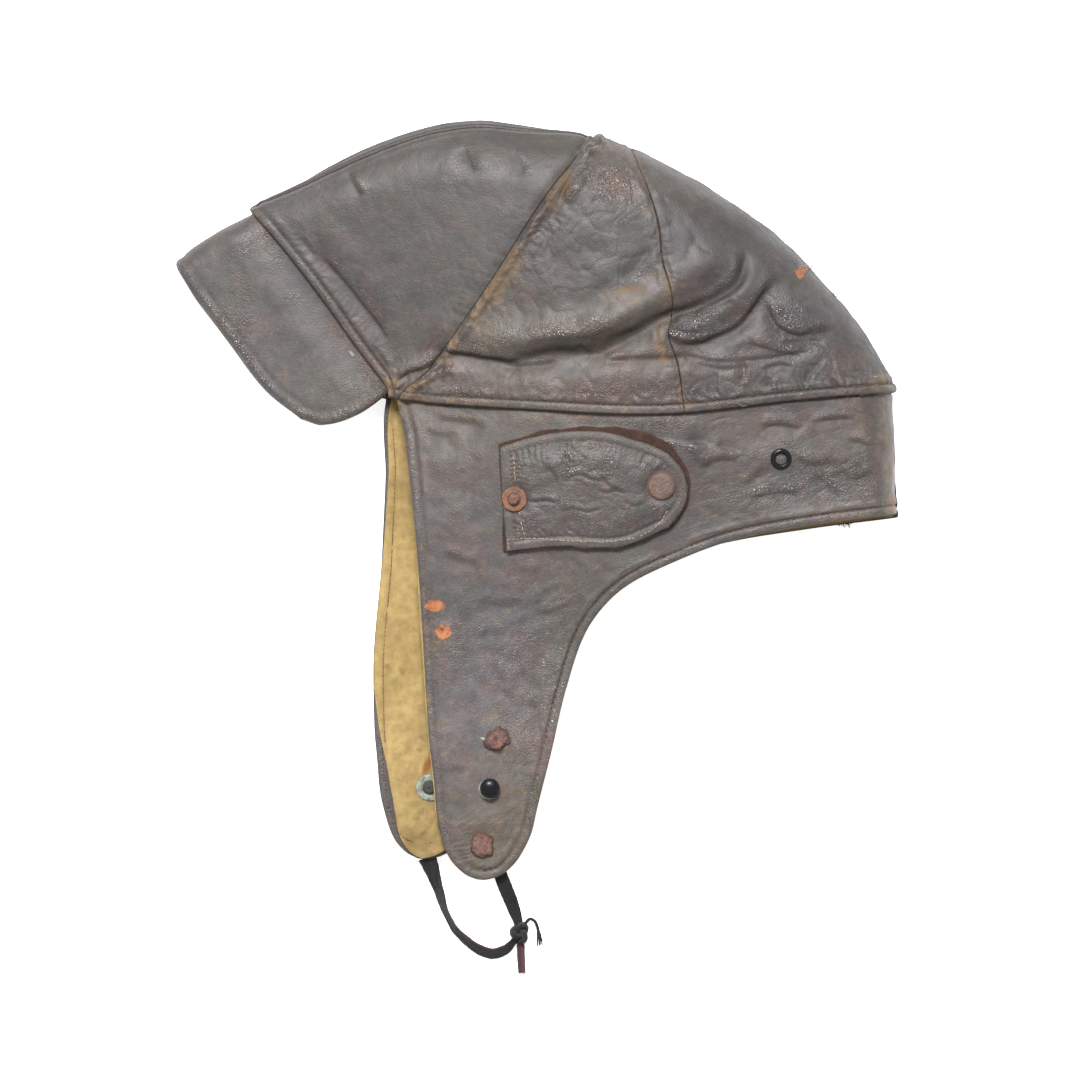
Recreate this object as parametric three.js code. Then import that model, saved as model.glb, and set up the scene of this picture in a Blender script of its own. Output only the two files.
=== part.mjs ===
// A leather flying helmet, laid flat on its right side: a six-panel crown that
// laps over a deep neck band with long ear flaps, a short soft peak folded at
// its middle, ear covers closed by snaps, chin studs and a tied chin ribbon.
//
// Millimetres, +Z up. The helmet rests on z = 0 on its right side. Its face
// looks towards -X, the top of the crown is towards +Y, and the wearer's left
// side is uppermost. The origin is under the middle of the leather.
//
// Every wall is a layer of one skin. The skin is a flattened pouch: it starts
// at the lower side, turns round the fold line (the middle of the crown and the
// back of the neck) and comes back as the upper side. Each panel is a patch of
// that skin between its seams, with a thickness inwards or outwards.
import * as THREE from "three";

// ---------------------------------------------------------------- sizes
const CROWN_WALL = 2.0; // leather and its backing
const BAND_WALL = 1.4; // leather of the neck band and ear flaps
const LINING_WALL = 0.9; // cloth of the lining
const PEAK_WALL = 3.0; // two plies of leather
const COVER_WALL = 1.3; // each ply of an ear cover
const GAP = 0.3; // free space kept between pieces that touch
const LAP_GAP = 0.5; // the same, between a hem and what it laps over
const HEM_LAP = 5.0; // how far the crown's hem covers the neck band
const BROW_LAP = 4.0; // how far the crown's front hem covers the peak
const TOP_LAP = 3.6; // how far the right front panel laps over the middle
const RIBBON_THICK = 1.1;
const TURN_SEGMENTS = 14; // sides of the round metal pieces

// The right side is the mirror of the left, swung forward under it.
const SWING = { temple: 5.7, flap: 18, reach: 70, rise: 8, length: 190 };

// ---------------------------------------------------------------- tables
// The fold line. z is the fold's height over the floor, and shoulder is how far
// inside it the leather is still turning.
const FOLD_LINE = [
  { at: "peak corner", x: -147.8, y: 95.5, z: 7, shoulder: 7 },
  { x: -142.1, y: 101.3, z: 7.5, shoulder: 8 },
  { x: -129.8, y: 110.3, z: 9, shoulder: 9 },
  { at: "brow seam", x: -118.3, y: 119.3, z: 10.5, shoulder: 12 },
  { x: -99.0, y: 129.2, z: 13, shoulder: 16 },
  { x: -74.4, y: 141.9, z: 15, shoulder: 20 },
  { x: -49.8, y: 151.3, z: 17, shoulder: 24 },
  { x: -25.2, y: 155.4, z: 18, shoulder: 27 },
  { x: -0.6, y: 152.5, z: 19, shoulder: 29 },
  { at: "slanting seam", x: 23.6, y: 148.8, z: 19, shoulder: 30 },
  { at: "upright seam", x: 38.7, y: 143.6, z: 19, shoulder: 30 },
  { x: 56.0, y: 135.2, z: 19, shoulder: 30 },
  { x: 73.2, y: 125.0, z: 19, shoulder: 31 },
  { x: 97.8, y: 107.8, z: 18, shoulder: 31 },
  { x: 116.2, y: 89.4, z: 17, shoulder: 30 },
  { x: 134.7, y: 67.2, z: 15, shoulder: 26 },
  { at: "crown hem", x: 145.8, y: 47.1, z: 13, shoulder: 20 },
  { x: 146.2, y: 32.4, z: 11, shoulder: 15 },
  { x: 146.2, y: 13.9, z: 10, shoulder: 12 },
  { at: "neck edge", x: 147.4, y: -6.1, z: 9, shoulder: 10 },
];

// Heights of the upper side over the floor, where it has done turning.
const HEIGHTS = [
  { at: "peak front", x: -138, y: 82, z: 13 },
  { at: "peak low", x: -89, y: 41, z: 13 },
  { at: "brow", x: -85, y: 110, z: 24 },
  { at: "front top", x: -35, y: 131, z: 34 },
  { at: "temple", x: -58, y: 43, z: 20 },
  { at: "front middle", x: -40, y: 90, z: 35 },
  { at: "crown top", x: 26, y: 131, z: 40 },
  { at: "crown middle", x: 22, y: 82, z: 46 },
  { at: "rear middle", x: 75, y: 94, z: 45 },
  { at: "rear low", x: 108, y: 69, z: 40 },
  { at: "hem middle", x: 26, y: 41, z: 40 },
  { at: "hem rear", x: 100, y: 41, z: 36 },
  { at: "nape", x: 137, y: 20, z: 26 },
  { at: "neck edge", x: 67, y: -13, z: 28 },
  { at: "ear", x: 22, y: 4, z: 33 },
  { at: "flap top", x: -23, y: 0, z: 26 },
  { at: "flap middle", x: -19, y: -58, z: 19 },
  { at: "flap low", x: -17, y: -115, z: 15.5 },
  { at: "flap tip", x: -19, y: -158, z: 12 },
];
const HEIGHT_REACH = 34; // how far each of those heights makes itself felt

// The crown's main folds: a valley along a bent line from a by b to c, with a
// puffed roll beside it on the side towards the fold line.
const FOLDS = [
  { at: "sag", ax: -39.6, ay: 56, bx: 26, by: 60, cx: 85, cy: 102, depth: 2.6, roll: 2.4, width: 6 },
  { at: "second sag", ax: 57.6, ay: 59, bx: 81, by: 64, cx: 101, cy: 92, depth: 2.2, roll: 1.4, width: 5 },
  { at: "over the hem", ax: -40, ay: 60, bx: 26, by: 52, cx: 116, cy: 60, depth: 1.8, roll: 0.6, width: 5 },
  { at: "brow crease", ax: -97, ay: 108, bx: -78, by: 90, cx: -61, cy: 63, depth: 1.0, roll: 0.5, width: 5 },
  { at: "rear dimple", ax: 94, ay: 80, bx: 104, by: 62, cx: 122, cy: 68, depth: 1.8, roll: 1.6, width: 6 },
];

// The lower side lies on what is fastened under it. The band and flap stand
// off the floor by SHELF, which runs out towards the crown, peak and nape, and
// a little more at the tallest fittings.
const SHELF = { lift: 3.9, crown: [42, 98], peak: [-55, -112], nape: [75, 134] };
const LIFTS = [
  { at: "cover snap", x: 51.0, y: 5.7, lift: 2.4, reach: 22 },
  { at: "cover stud", x: -9.2, y: 0.4, lift: 3.2, reach: 24 },
  { at: "chin stud", x: -20.7, y: -124.6, lift: 2.0, reach: 24 },
];

// Seams and edges of the left side, in plan.
const BROW = [
  { x: -118.3, y: 119.3 },
  { x: -103.1, y: 101.3 },
  { x: -87.9, y: 81.6 },
  { x: -73.2, y: 61.1 },
  { x: -58.0, y: 41.8 },
];
const PEAK_BACK = [
  { x: -114.8, y: 121.2 },
  { x: -99.9, y: 103.8 },
  { x: -84.8, y: 84.0 },
  { x: -70.6, y: 63.2 },
  { x: -59.2, y: 44.6 },
];
const PEAK_FRONT = [
  { x: -147.8, y: 95.5 },
  { x: -138.8, y: 81.6 },
  { x: -125.3, y: 63.1 },
  { x: -111.3, y: 44.7 },
  { x: -97.0, y: 33.6 },
];
const PEAK_LOW = [
  { x: -97.0, y: 33.6 },
  { x: -86.3, y: 31.6 },
  { x: -72.4, y: 35.7 },
  { x: -59.2, y: 44.6 },
];
const SLANTING_SEAM = [
  { x: 23.6, y: 148.8 },
  { x: 3.5, y: 123.4 },
  { x: -18.2, y: 89.8 },
  { x: -38.7, y: 60.3 },
  { x: -52.7, y: 41.0 },
];
const UPRIGHT_SEAM = [
  { x: 38.7, y: 143.6 },
  { x: 48.6, y: 116.4 },
  { x: 55.1, y: 85.7 },
  { x: 57.2, y: 61.1 },
  { x: 60.5, y: 34.9 },
];
const CROWN_HEM = [
  { x: -58.0, y: 41.8 },
  { x: -52.7, y: 41.0 },
  { x: -39.6, y: 38.9 },
  { x: 1.4, y: 36.1 },
  { x: 34.2, y: 34.4 },
  { x: 60.5, y: 34.9 },
  { x: 103.9, y: 39.8 },
  { x: 146.2, y: 43.9 },
];
const FLAP_FRONT = [
  { x: -54.7, y: 45.6 },
  { x: -50.6, y: 9.8 },
  { x: -47.4, y: -20.9 },
  { x: -44.9, y: -57.8 },
  { x: -42.4, y: -98.8 },
  { x: -40.4, y: -121.4 },
  { x: -36.7, y: -139.0 },
  { x: -28.9, y: -150.5 },
  { x: -18.2, y: -155.4 },
];
const NECK_EDGE = [
  { x: -18.2, y: -155.4 },
  { x: -7.6, y: -147.2 },
  { x: 0.2, y: -127.5 },
  { x: 6.4, y: -102.9 },
  { x: 12.1, y: -78.3 },
  { x: 20.7, y: -53.7 },
  { x: 34.2, y: -37.7 },
  { x: 54.7, y: -26.6 },
  { x: 81.0, y: -16.8 },
  { x: 113.0, y: -10.7 },
  { x: 147.4, y: -6.1 },
];
const COVER_TOP = [
  { x: -15.8, y: 21.3 },
  { x: 3.5, y: 26.6 },
  { x: 26.0, y: 27.9 },
  { x: 42.4, y: 25.0 },
  { x: 53.9, y: 19.3 },
];
const COVER_RIGHT = [
  { x: 53.9, y: 19.3 },
  { x: 60.5, y: 10.2 },
  { x: 61.0, y: -1.0 },
  { x: 53.9, y: -11.5 },
];
const COVER_BOTTOM = [
  { x: -13.3, y: -21.3 },
  { x: 9.6, y: -18.9 },
  { x: 34.2, y: -19.3 },
  { x: 53.9, y: -11.5 },
];

// The ribbon's two lengths, each from its flap to the knot and on to its tail.
// turn is the angle of the ribbon's flat from the floor, in degrees, and wide
// is its width there.
const RIBBON_RIGHT = [
  { x: -45.0, y: -147.6, z: 5.0, turn: 5, wide: 5.5 },
  { x: -43.2, y: -152.4, z: 3.9, turn: 10, wide: 5.0 },
  { x: -40.4, y: -159.6, z: 2.6, turn: 30, wide: 5.0 },
  { x: -37.1, y: -169.3, z: 2.6, turn: 62, wide: 5.5 },
  { x: -32.6, y: -177.0, z: 2.6, turn: 60, wide: 5.5 },
  { x: -26.6, y: -182.9, z: 2.4, turn: 50, wide: 5.5 },
  { x: -18.8, y: -186.6, z: 2.2, turn: 42, wide: 5.5 },
  { x: -13.0, y: -185.5, z: 2.1, turn: 35, wide: 5.0 },
  { x: -10.2, y: -183.0, z: 2.1, turn: 30, wide: 4.0 },
];
const RIBBON_RIGHT_TAIL = [
  { x: -4.4, y: -175.0, z: 3.6, turn: 10, wide: 2.6 },
  { x: -2.6, y: -173.2, z: 3.3, turn: 20, wide: 2.6 },
  { x: -0.4, y: -174.6, z: 2.6, turn: 30, wide: 2.6 },
  { x: 0.9, y: -178.9, z: 1.6, turn: 15, wide: 2.6 },
  { x: 1.6, y: -183.3, z: 1.0, turn: 5, wide: 2.6 },
];
const RIBBON_LEFT = [
  { x: -14.0, y: -155.3, z: 11.4, turn: 0, wide: 5.5 },
  { x: -12.6, y: -159.6, z: 8.2, turn: 2, wide: 5.5 },
  { x: -10.8, y: -164.8, z: 4.6, turn: 5, wide: 5.5 },
  { x: -8.9, y: -170.0, z: 3.0, turn: 8, wide: 5.3 },
  { x: -7.6, y: -174.2, z: 2.6, turn: 5, wide: 4.2 },
];
const RIBBON_LEFT_TAIL = [
  { x: -6.6, y: -183.6, z: 1.4, turn: 8, wide: 3.4 },
  { x: -6.4, y: -189.0, z: 0.9, turn: 4, wide: 3.2 },
  { x: -6.0, y: -195.4, z: 0.8, turn: 0, wide: 3.2 },
];
const KNOT = { x: -7.0, y: -178.9, z: 3.3, rx: 3.7, ry: 4.2, rz: 3.0 };

// Metal fittings, in plan on the side they are fixed to before the right side
// is swung forward. on is the layer that carries them.
const FITTINGS = [
  { name: "cover_snap_cap", on: "cover", kind: "cap", lx: 51.0, ly: 5.7, rx: 51.0, ry: 5.7 },
  { name: "cover_snap_stud", on: "cover", kind: "stud", lx: -9.2, ly: 0.4, rx: -9.2, ry: 0.4 },
  { name: "goggle_stud", on: "band", kind: "ring", lx: 99.8, ly: 16.4, rx: 99.8, ry: 16.4 },
  { name: "upper_rivet", on: "band", kind: "rivet", lx: -15.8, ly: -98.8, rx: -18.5, ry: -106 },
  { name: "chin_stud", on: "band", kind: "ball", lx: -19.1, ly: -118.5, rx: -20.7, ry: -124.6 },
  { name: "lower_rivet", on: "band", kind: "rivet", lx: -22.3, ly: -141.2, rx: -24, ry: -141.5 },
  { name: "chin_washer", on: "lining", kind: "washer", lx: -19.1, ly: -118.5, rx: -20.7, ry: -124.6 },
];
// Turned profiles: r from the axis, h above the leather.
const PROFILES = {
  cap: [
    { r: 0, h: 0 },
    { r: 5.3, h: 0 },
    { r: 5.6, h: 0.5 },
    { r: 5.2, h: 1.2 },
    { r: 4.4, h: 1.5 },
    { r: 0, h: 1.5 },
  ],
  stud: [
    { r: 0, h: 0 },
    { r: 5.1, h: 0 },
    { r: 5.0, h: 0.7 },
    { r: 2.4, h: 0.9 },
    { r: 1.5, h: 1.4 },
    { r: 1.9, h: 2.3 },
    { r: 1.2, h: 2.8 },
    { r: 0, h: 2.8 },
  ],
  ring: [
    { r: 1.6, h: 0 },
    { r: 4.3, h: 0 },
    { r: 4.3, h: 0.7 },
    { r: 3.7, h: 1.1 },
    { r: 2.6, h: 1.1 },
    { r: 1.6, h: 0.4 },
    { r: 1.6, h: 0 },
  ],
  rivet: [
    { r: 0, h: 0 },
    { r: 4.4, h: 0 },
    { r: 4.6, h: 0.6 },
    { r: 3.9, h: 1.6 },
    { r: 2.2, h: 2.0 },
    { r: 0, h: 2.0 },
  ],
  ball: [
    { r: 0, h: 0 },
    { r: 4.5, h: 0 },
    { r: 4.5, h: 0.5 },
    { r: 2.9, h: 0.6 },
    { r: 2.9, h: 1.1 },
    { r: 3.7, h: 2.0 },
    { r: 3.3, h: 3.2 },
    { r: 1.9, h: 4.0 },
    { r: 0, h: 4.1 },
  ],
  washer: [
    { r: 0, h: 0 },
    { r: 4.4, h: 0 },
    { r: 4.4, h: 0.6 },
    { r: 2.4, h: 0.8 },
    { r: 1.8, h: 1.1 },
    { r: 0, h: 1.1 },
  ],
};

// ---------------------------------------------------------------- curves
const clamp = (v, a, b) => Math.min(b, Math.max(a, v));
const smooth = (v, a, b) => {
  const t = clamp((v - a) / (b - a), 0, 1);
  return t * t * (3 - 2 * t);
};

// A smooth curve through the rows of a table, measured along its chords: at(t)
// gives every numeric column for t from 0 to 1, and knots holds each row's t.
function curve(rows) {
  const keys = Object.keys(rows[0]).filter((k) => typeof rows[0][k] === "number");
  const s = [0];
  for (let i = 1; i < rows.length; i++)
    s.push(s[i - 1] + Math.hypot(rows[i].x - rows[i - 1].x, rows[i].y - rows[i - 1].y));
  const length = s[s.length - 1];
  const slope = (k, i) => {
    const a = Math.max(0, i - 1);
    const b = Math.min(rows.length - 1, i + 1);
    return (rows[b][k] - rows[a][k]) / (s[b] - s[a]);
  };
  const at = (t) => {
    const d = clamp(t, 0, 1) * length;
    let i = 0;
    while (i < rows.length - 2 && s[i + 1] < d) i++;
    const h = s[i + 1] - s[i];
    const f = (d - s[i]) / h;
    const out = {};
    for (const k of keys)
      out[k] =
        (2 * f ** 3 - 3 * f ** 2 + 1) * rows[i][k] +
        (f ** 3 - 2 * f ** 2 + f) * h * slope(k, i) +
        (-2 * f ** 3 + 3 * f ** 2) * rows[i + 1][k] +
        (f ** 3 - f ** 2) * h * slope(k, i + 1);
    return out;
  };
  return { at, length, knots: s.map((v) => v / length) };
}
const knotOf = (c, rows, name) => c.knots[rows.findIndex((r) => r.at === name)];

const foldLine = curve(FOLD_LINE);
const hemLine = curve(CROWN_HEM);
const FOLD_STEPS = 260;
const foldPoints = Array.from({ length: FOLD_STEPS + 1 }, (_, i) => foldLine.at(i / FOLD_STEPS));
const hemPoints = Array.from({ length: 81 }, (_, i) => hemLine.at(i / 80));

// The nearest place on the fold line, and how far it is.
function nearestFold(x, y) {
  let best = { d: Infinity };
  for (let i = 0; i < FOLD_STEPS; i++) {
    const a = foldPoints[i];
    const b = foldPoints[i + 1];
    const dx = b.x - a.x;
    const dy = b.y - a.y;
    const f = clamp(((x - a.x) * dx + (y - a.y) * dy) / (dx * dx + dy * dy), 0, 1);
    const d = Math.hypot(x - a.x - f * dx, y - a.y - f * dy);
    if (d < best.d) best = { d, z: a.z + f * (b.z - a.z), shoulder: a.shoulder + f * (b.shoulder - a.shoulder) };
  }
  return best;
}
// How far a point of the plan is below the crown's hem.
function belowHem(x, y) {
  for (let i = 0; i < hemPoints.length - 1; i++) {
    const a = hemPoints[i];
    const b = hemPoints[i + 1];
    if (x <= b.x || i === hemPoints.length - 2)
      return a.y + ((x - a.x) / (b.x - a.x)) * (b.y - a.y) - y;
  }
}

// ---------------------------------------------------------------- the skin
const turned = (q) => (q >= 1 ? 1 : Math.sqrt(Math.max(0, 1 - (1 - q) ** 2)));

function upperRest(x, y) {
  let sum = 0;
  let weight = 0;
  for (const h of HEIGHTS) {
    const w = Math.exp(-((x - h.x) ** 2 + (y - h.y) ** 2) / (2 * HEIGHT_REACH ** 2));
    sum += w * h.z;
    weight += w;
  }
  return sum / weight;
}
function foldRelief(x, y) {
  let z = 0;
  for (const f of FOLDS) {
    let best = { d: Infinity };
    for (let i = 0; i <= 16; i++) {
      const t = i / 16;
      const px = (1 - t) ** 2 * f.ax + 2 * t * (1 - t) * f.bx + t * t * f.cx;
      const py = (1 - t) ** 2 * f.ay + 2 * t * (1 - t) * f.by + t * t * f.cy;
      const d = Math.hypot(x - px, y - py);
      if (d < best.d) {
        const tx = 2 * (1 - t) * (f.bx - f.ax) + 2 * t * (f.cx - f.bx);
        const ty = 2 * (1 - t) * (f.by - f.ay) + 2 * t * (f.cy - f.by);
        const l = Math.hypot(tx, ty);
        best = { d, t, side: (tx * (y - py) - ty * (x - px)) / l };
      }
    }
    const along = Math.hypot(best.side, 0);
    const end = Math.sqrt(Math.max(0, best.d ** 2 - along ** 2));
    const fade = Math.sqrt(Math.max(0, Math.sin(Math.PI * clamp(best.t, 0.02, 0.98)))) * Math.exp(-((end / f.width) ** 2));
    z += fade * (f.roll * Math.exp(-(((best.side - 1.7 * f.width) / (1.1 * f.width)) ** 2)) - f.depth * Math.exp(-((best.side / f.width) ** 2)));
  }
  return z;
}
function upperSkin(x, y) {
  const f = nearestFold(x, y);
  const q = turned(f.d / f.shoulder);
  return f.z + (upperRest(x, y) - f.z) * q + foldRelief(x, y) * smooth(f.d, 6, 26);
}
function swing(x, y) {
  const across = smooth(x, -97, -62) * (1 - smooth(x, -35, 141));
  const inside = smooth(nearestFold(x, y).d, 8, 70);
  const below = Math.max(0, 41 - y);
  const dx = -(SWING.temple + SWING.flap * (1 - Math.exp(-below / SWING.reach))) * across * inside;
  const dy = SWING.rise * (below / SWING.length) ** 2 * across;
  return [x + dx, y + dy];
}
function lifted(x, y) {
  const shelf = (v, [from, to]) => 1 - smooth(Math.abs(v - from), 0, Math.abs(to - from));
  let z =
    SHELF.lift *
    (y > SHELF.crown[0] ? shelf(y, SHELF.crown) : 1) *
    (x < SHELF.peak[0] ? shelf(x, SHELF.peak) : 1) *
    (x > SHELF.nape[0] ? shelf(x, SHELF.nape) : 1);
  for (const l of LIFTS) z += l.lift * Math.max(0, Math.exp(-((x - l.x) ** 2 + (y - l.y) ** 2) / (2 * l.reach ** 2)) - 0.01);
  return z;
}
function lowerSkin(x, y) {
  const f = nearestFold(x, y);
  return f.z * (1 - turned(f.d / f.shoulder));
}
// A point of the skin: s runs from -1, the lower side's edge, through 0, the
// fold line, to 1, the upper side's edge.
function skin(patch, u, s) {
  const p = patch(u, Math.abs(s));
  if (s >= 0) return new THREE.Vector3(p.x, p.y, upperSkin(p.x, p.y));
  const [x, y] = swing(p.x, p.y);
  return new THREE.Vector3(x, y, lowerSkin(p.x, p.y) + lifted(p.x, p.y));
}
// The skin's outward direction. A patch that doesn't start at the fold line is
// measured on its own side only.
function outward(patch, u, s, overFold) {
  const e = 0.004;
  const u0 = clamp(u - e, 0, 1);
  const u1 = clamp(u + e, 0, 1);
  const s0 = clamp(s - e, overFold || s < 0 ? -1 : 1e-6, 1);
  const s1 = clamp(s + e, -1, overFold || s > 0 ? 1 : -1e-6);
  const a = skin(patch, u1, s).sub(skin(patch, u0, s));
  const b = skin(patch, u, s1).sub(skin(patch, u, s0));
  return b.cross(a).normalize();
}

// A patch of the plan between four edges: top and bottom run with u, left and
// right with v. inset pulls its left and right edges in by half a seam gap.
function patchOf(top, bottom, left, right, inset = 0.2) {
  const mix = (u, v) => {
    const t = top(u);
    const b = bottom(u);
    const l = left(v);
    const r = right(v);
    const [p00, p10, p01, p11] = [top(0), top(1), bottom(0), bottom(1)];
    const part = (k) =>
      (1 - v) * t[k] + v * b[k] + (1 - u) * l[k] + u * r[k] -
      ((1 - u) * (1 - v) * p00[k] + u * (1 - v) * p10[k] + (1 - u) * v * p01[k] + u * v * p11[k]);
    return { x: part("x"), y: part("y") };
  };
  if (!inset) return mix;
  return (u, v) => {
    const a = mix(0, v);
    const b = mix(1, v);
    const d = Math.min(0.3, inset / Math.max(0.5, Math.hypot(b.x - a.x, b.y - a.y)));
    return mix(d + u * (1 - 2 * d), v);
  };
}
const between = (c, t0, t1) => (u) => c.at(t0 + (t1 - t0) * u);
const along = (rows) => {
  const c = curve(rows);
  return (v) => c.at(v);
};
const shifted = (f, dx, dy) => (u) => {
  const p = f(u);
  return { x: p.x + dx, y: p.y + dy };
};

// ---------------------------------------------------------------- solids
// A closed wall: the patch's skin moved out by outer(x, y) and by inner(x, y),
// where x and y are the plan of the left side, over the columns us and the
// rows ss(u).
function wall(patch, us, ss, outer, inner, overFold = false) {
  const rows = ss(0).length;
  const positions = [];
  for (const u of us)
    for (const s of ss(u)) {
      const p = skin(patch, u, s);
      const n = outward(patch, u, s, overFold);
      const q = patch(u, Math.abs(s));
      for (const f of [outer, inner]) {
        const o = f(q.x, q.y);
        positions.push(p.x + n.x * o, p.y + n.y * o, p.z + n.z * o);
      }
    }
  const id = (i, j, layer) => (i * rows + j) * 2 + layer;
  const index = [];
  const quad = (a, b, c, d) => index.push(a, b, c, a, c, d);
  const n = us.length;
  for (let i = 0; i < n - 1; i++)
    for (let j = 0; j < rows - 1; j++) {
      quad(id(i, j, 0), id(i, j + 1, 0), id(i + 1, j + 1, 0), id(i + 1, j, 0));
      quad(id(i, j, 1), id(i + 1, j, 1), id(i + 1, j + 1, 1), id(i, j + 1, 1));
    }
  for (let i = 0; i < n - 1; i++) {
    quad(id(i, 0, 0), id(i + 1, 0, 0), id(i + 1, 0, 1), id(i, 0, 1));
    quad(id(i, rows - 1, 0), id(i, rows - 1, 1), id(i + 1, rows - 1, 1), id(i + 1, rows - 1, 0));
  }
  for (let j = 0; j < rows - 1; j++) {
    quad(id(0, j, 0), id(0, j, 1), id(0, j + 1, 1), id(0, j + 1, 0));
    quad(id(n - 1, j, 0), id(n - 1, j + 1, 0), id(n - 1, j + 1, 1), id(n - 1, j, 1));
  }
  const g = new THREE.BufferGeometry();
  g.setAttribute("position", new THREE.Float32BufferAttribute(positions, 3));
  g.setIndex(index);
  if (volumeOf(g) < 0) for (let i = 0; i < index.length; i += 3) [index[i + 1], index[i + 2]] = [index[i + 2], index[i + 1]];
  g.setIndex(index);
  g.computeVertexNormals();
  return g;
}
function volumeOf(g) {
  const p = g.attributes.position;
  const q = g.index.array;
  let v = 0;
  const [a, b, c] = [new THREE.Vector3(), new THREE.Vector3(), new THREE.Vector3()];
  for (let i = 0; i < q.length; i += 3) {
    a.fromBufferAttribute(p, q[i]);
    b.fromBufferAttribute(p, q[i + 1]);
    c.fromBufferAttribute(p, q[i + 2]);
    v += a.dot(b.cross(c)) / 6;
  }
  return v;
}
const steps = (n, power = 1) => Array.from({ length: n + 1 }, (_, i) => (i / n) ** power);

// A flat ribbon along a table's rows.
function ribbon(rows, count) {
  const c = curve(rows);
  const positions = [];
  const SIDES = 8;
  const width = (k) => 0.5 * Math.sign(Math.cos(k)) * Math.abs(Math.cos(k)) ** 0.6;
  const thick = (k) => (RIBBON_THICK / 2) * Math.sign(Math.sin(k)) * Math.abs(Math.sin(k)) ** 0.6;
  for (let i = 0; i <= count; i++) {
    const t = i / count;
    const p = c.at(t);
    const e = 0.01;
    const a = c.at(Math.max(0, t - e));
    const b = c.at(Math.min(1, t + e));
    const forward = new THREE.Vector3(b.x - a.x, b.y - a.y, b.z - a.z).normalize();
    const flat = new THREE.Vector3().crossVectors(new THREE.Vector3(0, 0, 1), forward).normalize();
    const up = new THREE.Vector3().crossVectors(forward, flat).normalize();
    const turn = THREE.MathUtils.degToRad(p.turn);
    const wide = flat.clone().multiplyScalar(Math.cos(turn)).addScaledVector(up, Math.sin(turn));
    const thin = new THREE.Vector3().crossVectors(forward, wide);
    const low = Math.abs(wide.z) * p.wide * 0.5 + Math.abs(thin.z) * RIBBON_THICK * 0.5;
    const z = Math.max(p.z, low + 0.15);
    for (let k = 0; k < SIDES; k++) {
      const q = (2 * Math.PI * (k + 0.5)) / SIDES;
      const v = new THREE.Vector3(p.x, p.y, z).addScaledVector(wide, p.wide * width(q)).addScaledVector(thin, thick(q));
      positions.push(v.x, v.y, v.z);
    }
  }
  const index = [];
  for (let i = 0; i < count; i++)
    for (let k = 0; k < SIDES; k++) {
      const a = i * SIDES + k;
      const b = i * SIDES + ((k + 1) % SIDES);
      index.push(a, b, b + SIDES, a, b + SIDES, a + SIDES);
    }
  for (let k = 1; k < SIDES - 1; k++) {
    index.push(0, k + 1, k);
    index.push(count * SIDES, count * SIDES + k, count * SIDES + k + 1);
  }
  const g = new THREE.BufferGeometry();
  g.setAttribute("position", new THREE.Float32BufferAttribute(positions, 3));
  if (volumeOf(g.setIndex(index)) < 0)
    for (let i = 0; i < index.length; i += 3) [index[i + 1], index[i + 2]] = [index[i + 2], index[i + 1]];
  g.setIndex(index);
  g.computeVertexNormals();
  return g;
}

// ---------------------------------------------------------------- materials
const leather = new THREE.MeshStandardMaterial({ color: 0x4a403b, roughness: 0.5, metalness: 0 });
const cloth = new THREE.MeshStandardMaterial({ color: 0xb0904f, roughness: 0.95, metalness: 0 });
const rust = new THREE.MeshStandardMaterial({ color: 0x7d4a3a, roughness: 0.85, metalness: 0.3 });
const enamel = new THREE.MeshStandardMaterial({ color: 0x151517, roughness: 0.25, metalness: 0.2 });
const verdigris = new THREE.MeshStandardMaterial({ color: 0x7d8475, roughness: 0.7, metalness: 0.5 });
const tape = new THREE.MeshStandardMaterial({ color: 0x2a2629, roughness: 0.9, metalness: 0 });

// The tables' zero is a point inside the ear cover, and the model's origin is under the middle of its leather.
const ORIGIN = { x: -0.3, y: -0.08 };
const laid = new THREE.Group();
laid.position.set(-ORIGIN.x, -ORIGIN.y, 0);
const helmet = new THREE.Group();
helmet.add(laid);
function add(name, geometry, material) {
  const mesh = new THREE.Mesh(geometry, material);
  mesh.name = name;
  laid.add(mesh);
  return mesh;
}

// ---------------------------------------------------------------- crown
const tBrow = knotOf(foldLine, FOLD_LINE, "brow seam");
const tSlant = knotOf(foldLine, FOLD_LINE, "slanting seam");
const tUpright = knotOf(foldLine, FOLD_LINE, "upright seam");
const tHem = knotOf(foldLine, FOLD_LINE, "crown hem");
const hSlant = hemLine.knots[1];
const hUpright = hemLine.knots[5];

const CROWN_PANELS = [
  {
    name: "crown_front",
    patch: patchOf(between(foldLine, tBrow, tSlant), between(hemLine, 0, hSlant), along(BROW), along(SLANTING_SEAM)),
    columns: steps(9),
    lap: (u) => TOP_LAP * Math.sin(Math.PI * u) ** 0.8,
  },
  {
    name: "crown_middle",
    patch: patchOf(between(foldLine, tSlant, tUpright), between(hemLine, hSlant, hUpright), along(SLANTING_SEAM), along(UPRIGHT_SEAM)),
    columns: steps(7),
    lap: () => 0,
  },
  {
    name: "crown_rear",
    patch: patchOf(
      between(foldLine, tUpright, tHem),
      between(hemLine, hUpright, 1),
      along(UPRIGHT_SEAM),
      along([{ x: 145.8, y: 47.1 }, { x: 146.2, y: 43.9 }]),
    ),
    columns: [0, 0.11, 0.22, 0.33, 0.44, 0.55, 0.66, 0.76, 0.85, 0.92, 0.96, 0.985, 1],
    lap: () => 0,
  },
];
const UPPER_ROWS = [0, 0.012, 0.035, 0.075, 0.13, 0.2, 0.28, 0.37, 0.46, 0.55, 0.63, 0.71, 0.79, 0.87, 0.94, 1];
const LOWER_ROWS = [0, 0.012, 0.035, 0.075, 0.13, 0.2, 0.29, 0.42, 0.6, 0.8, 0.94, 1];
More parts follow.
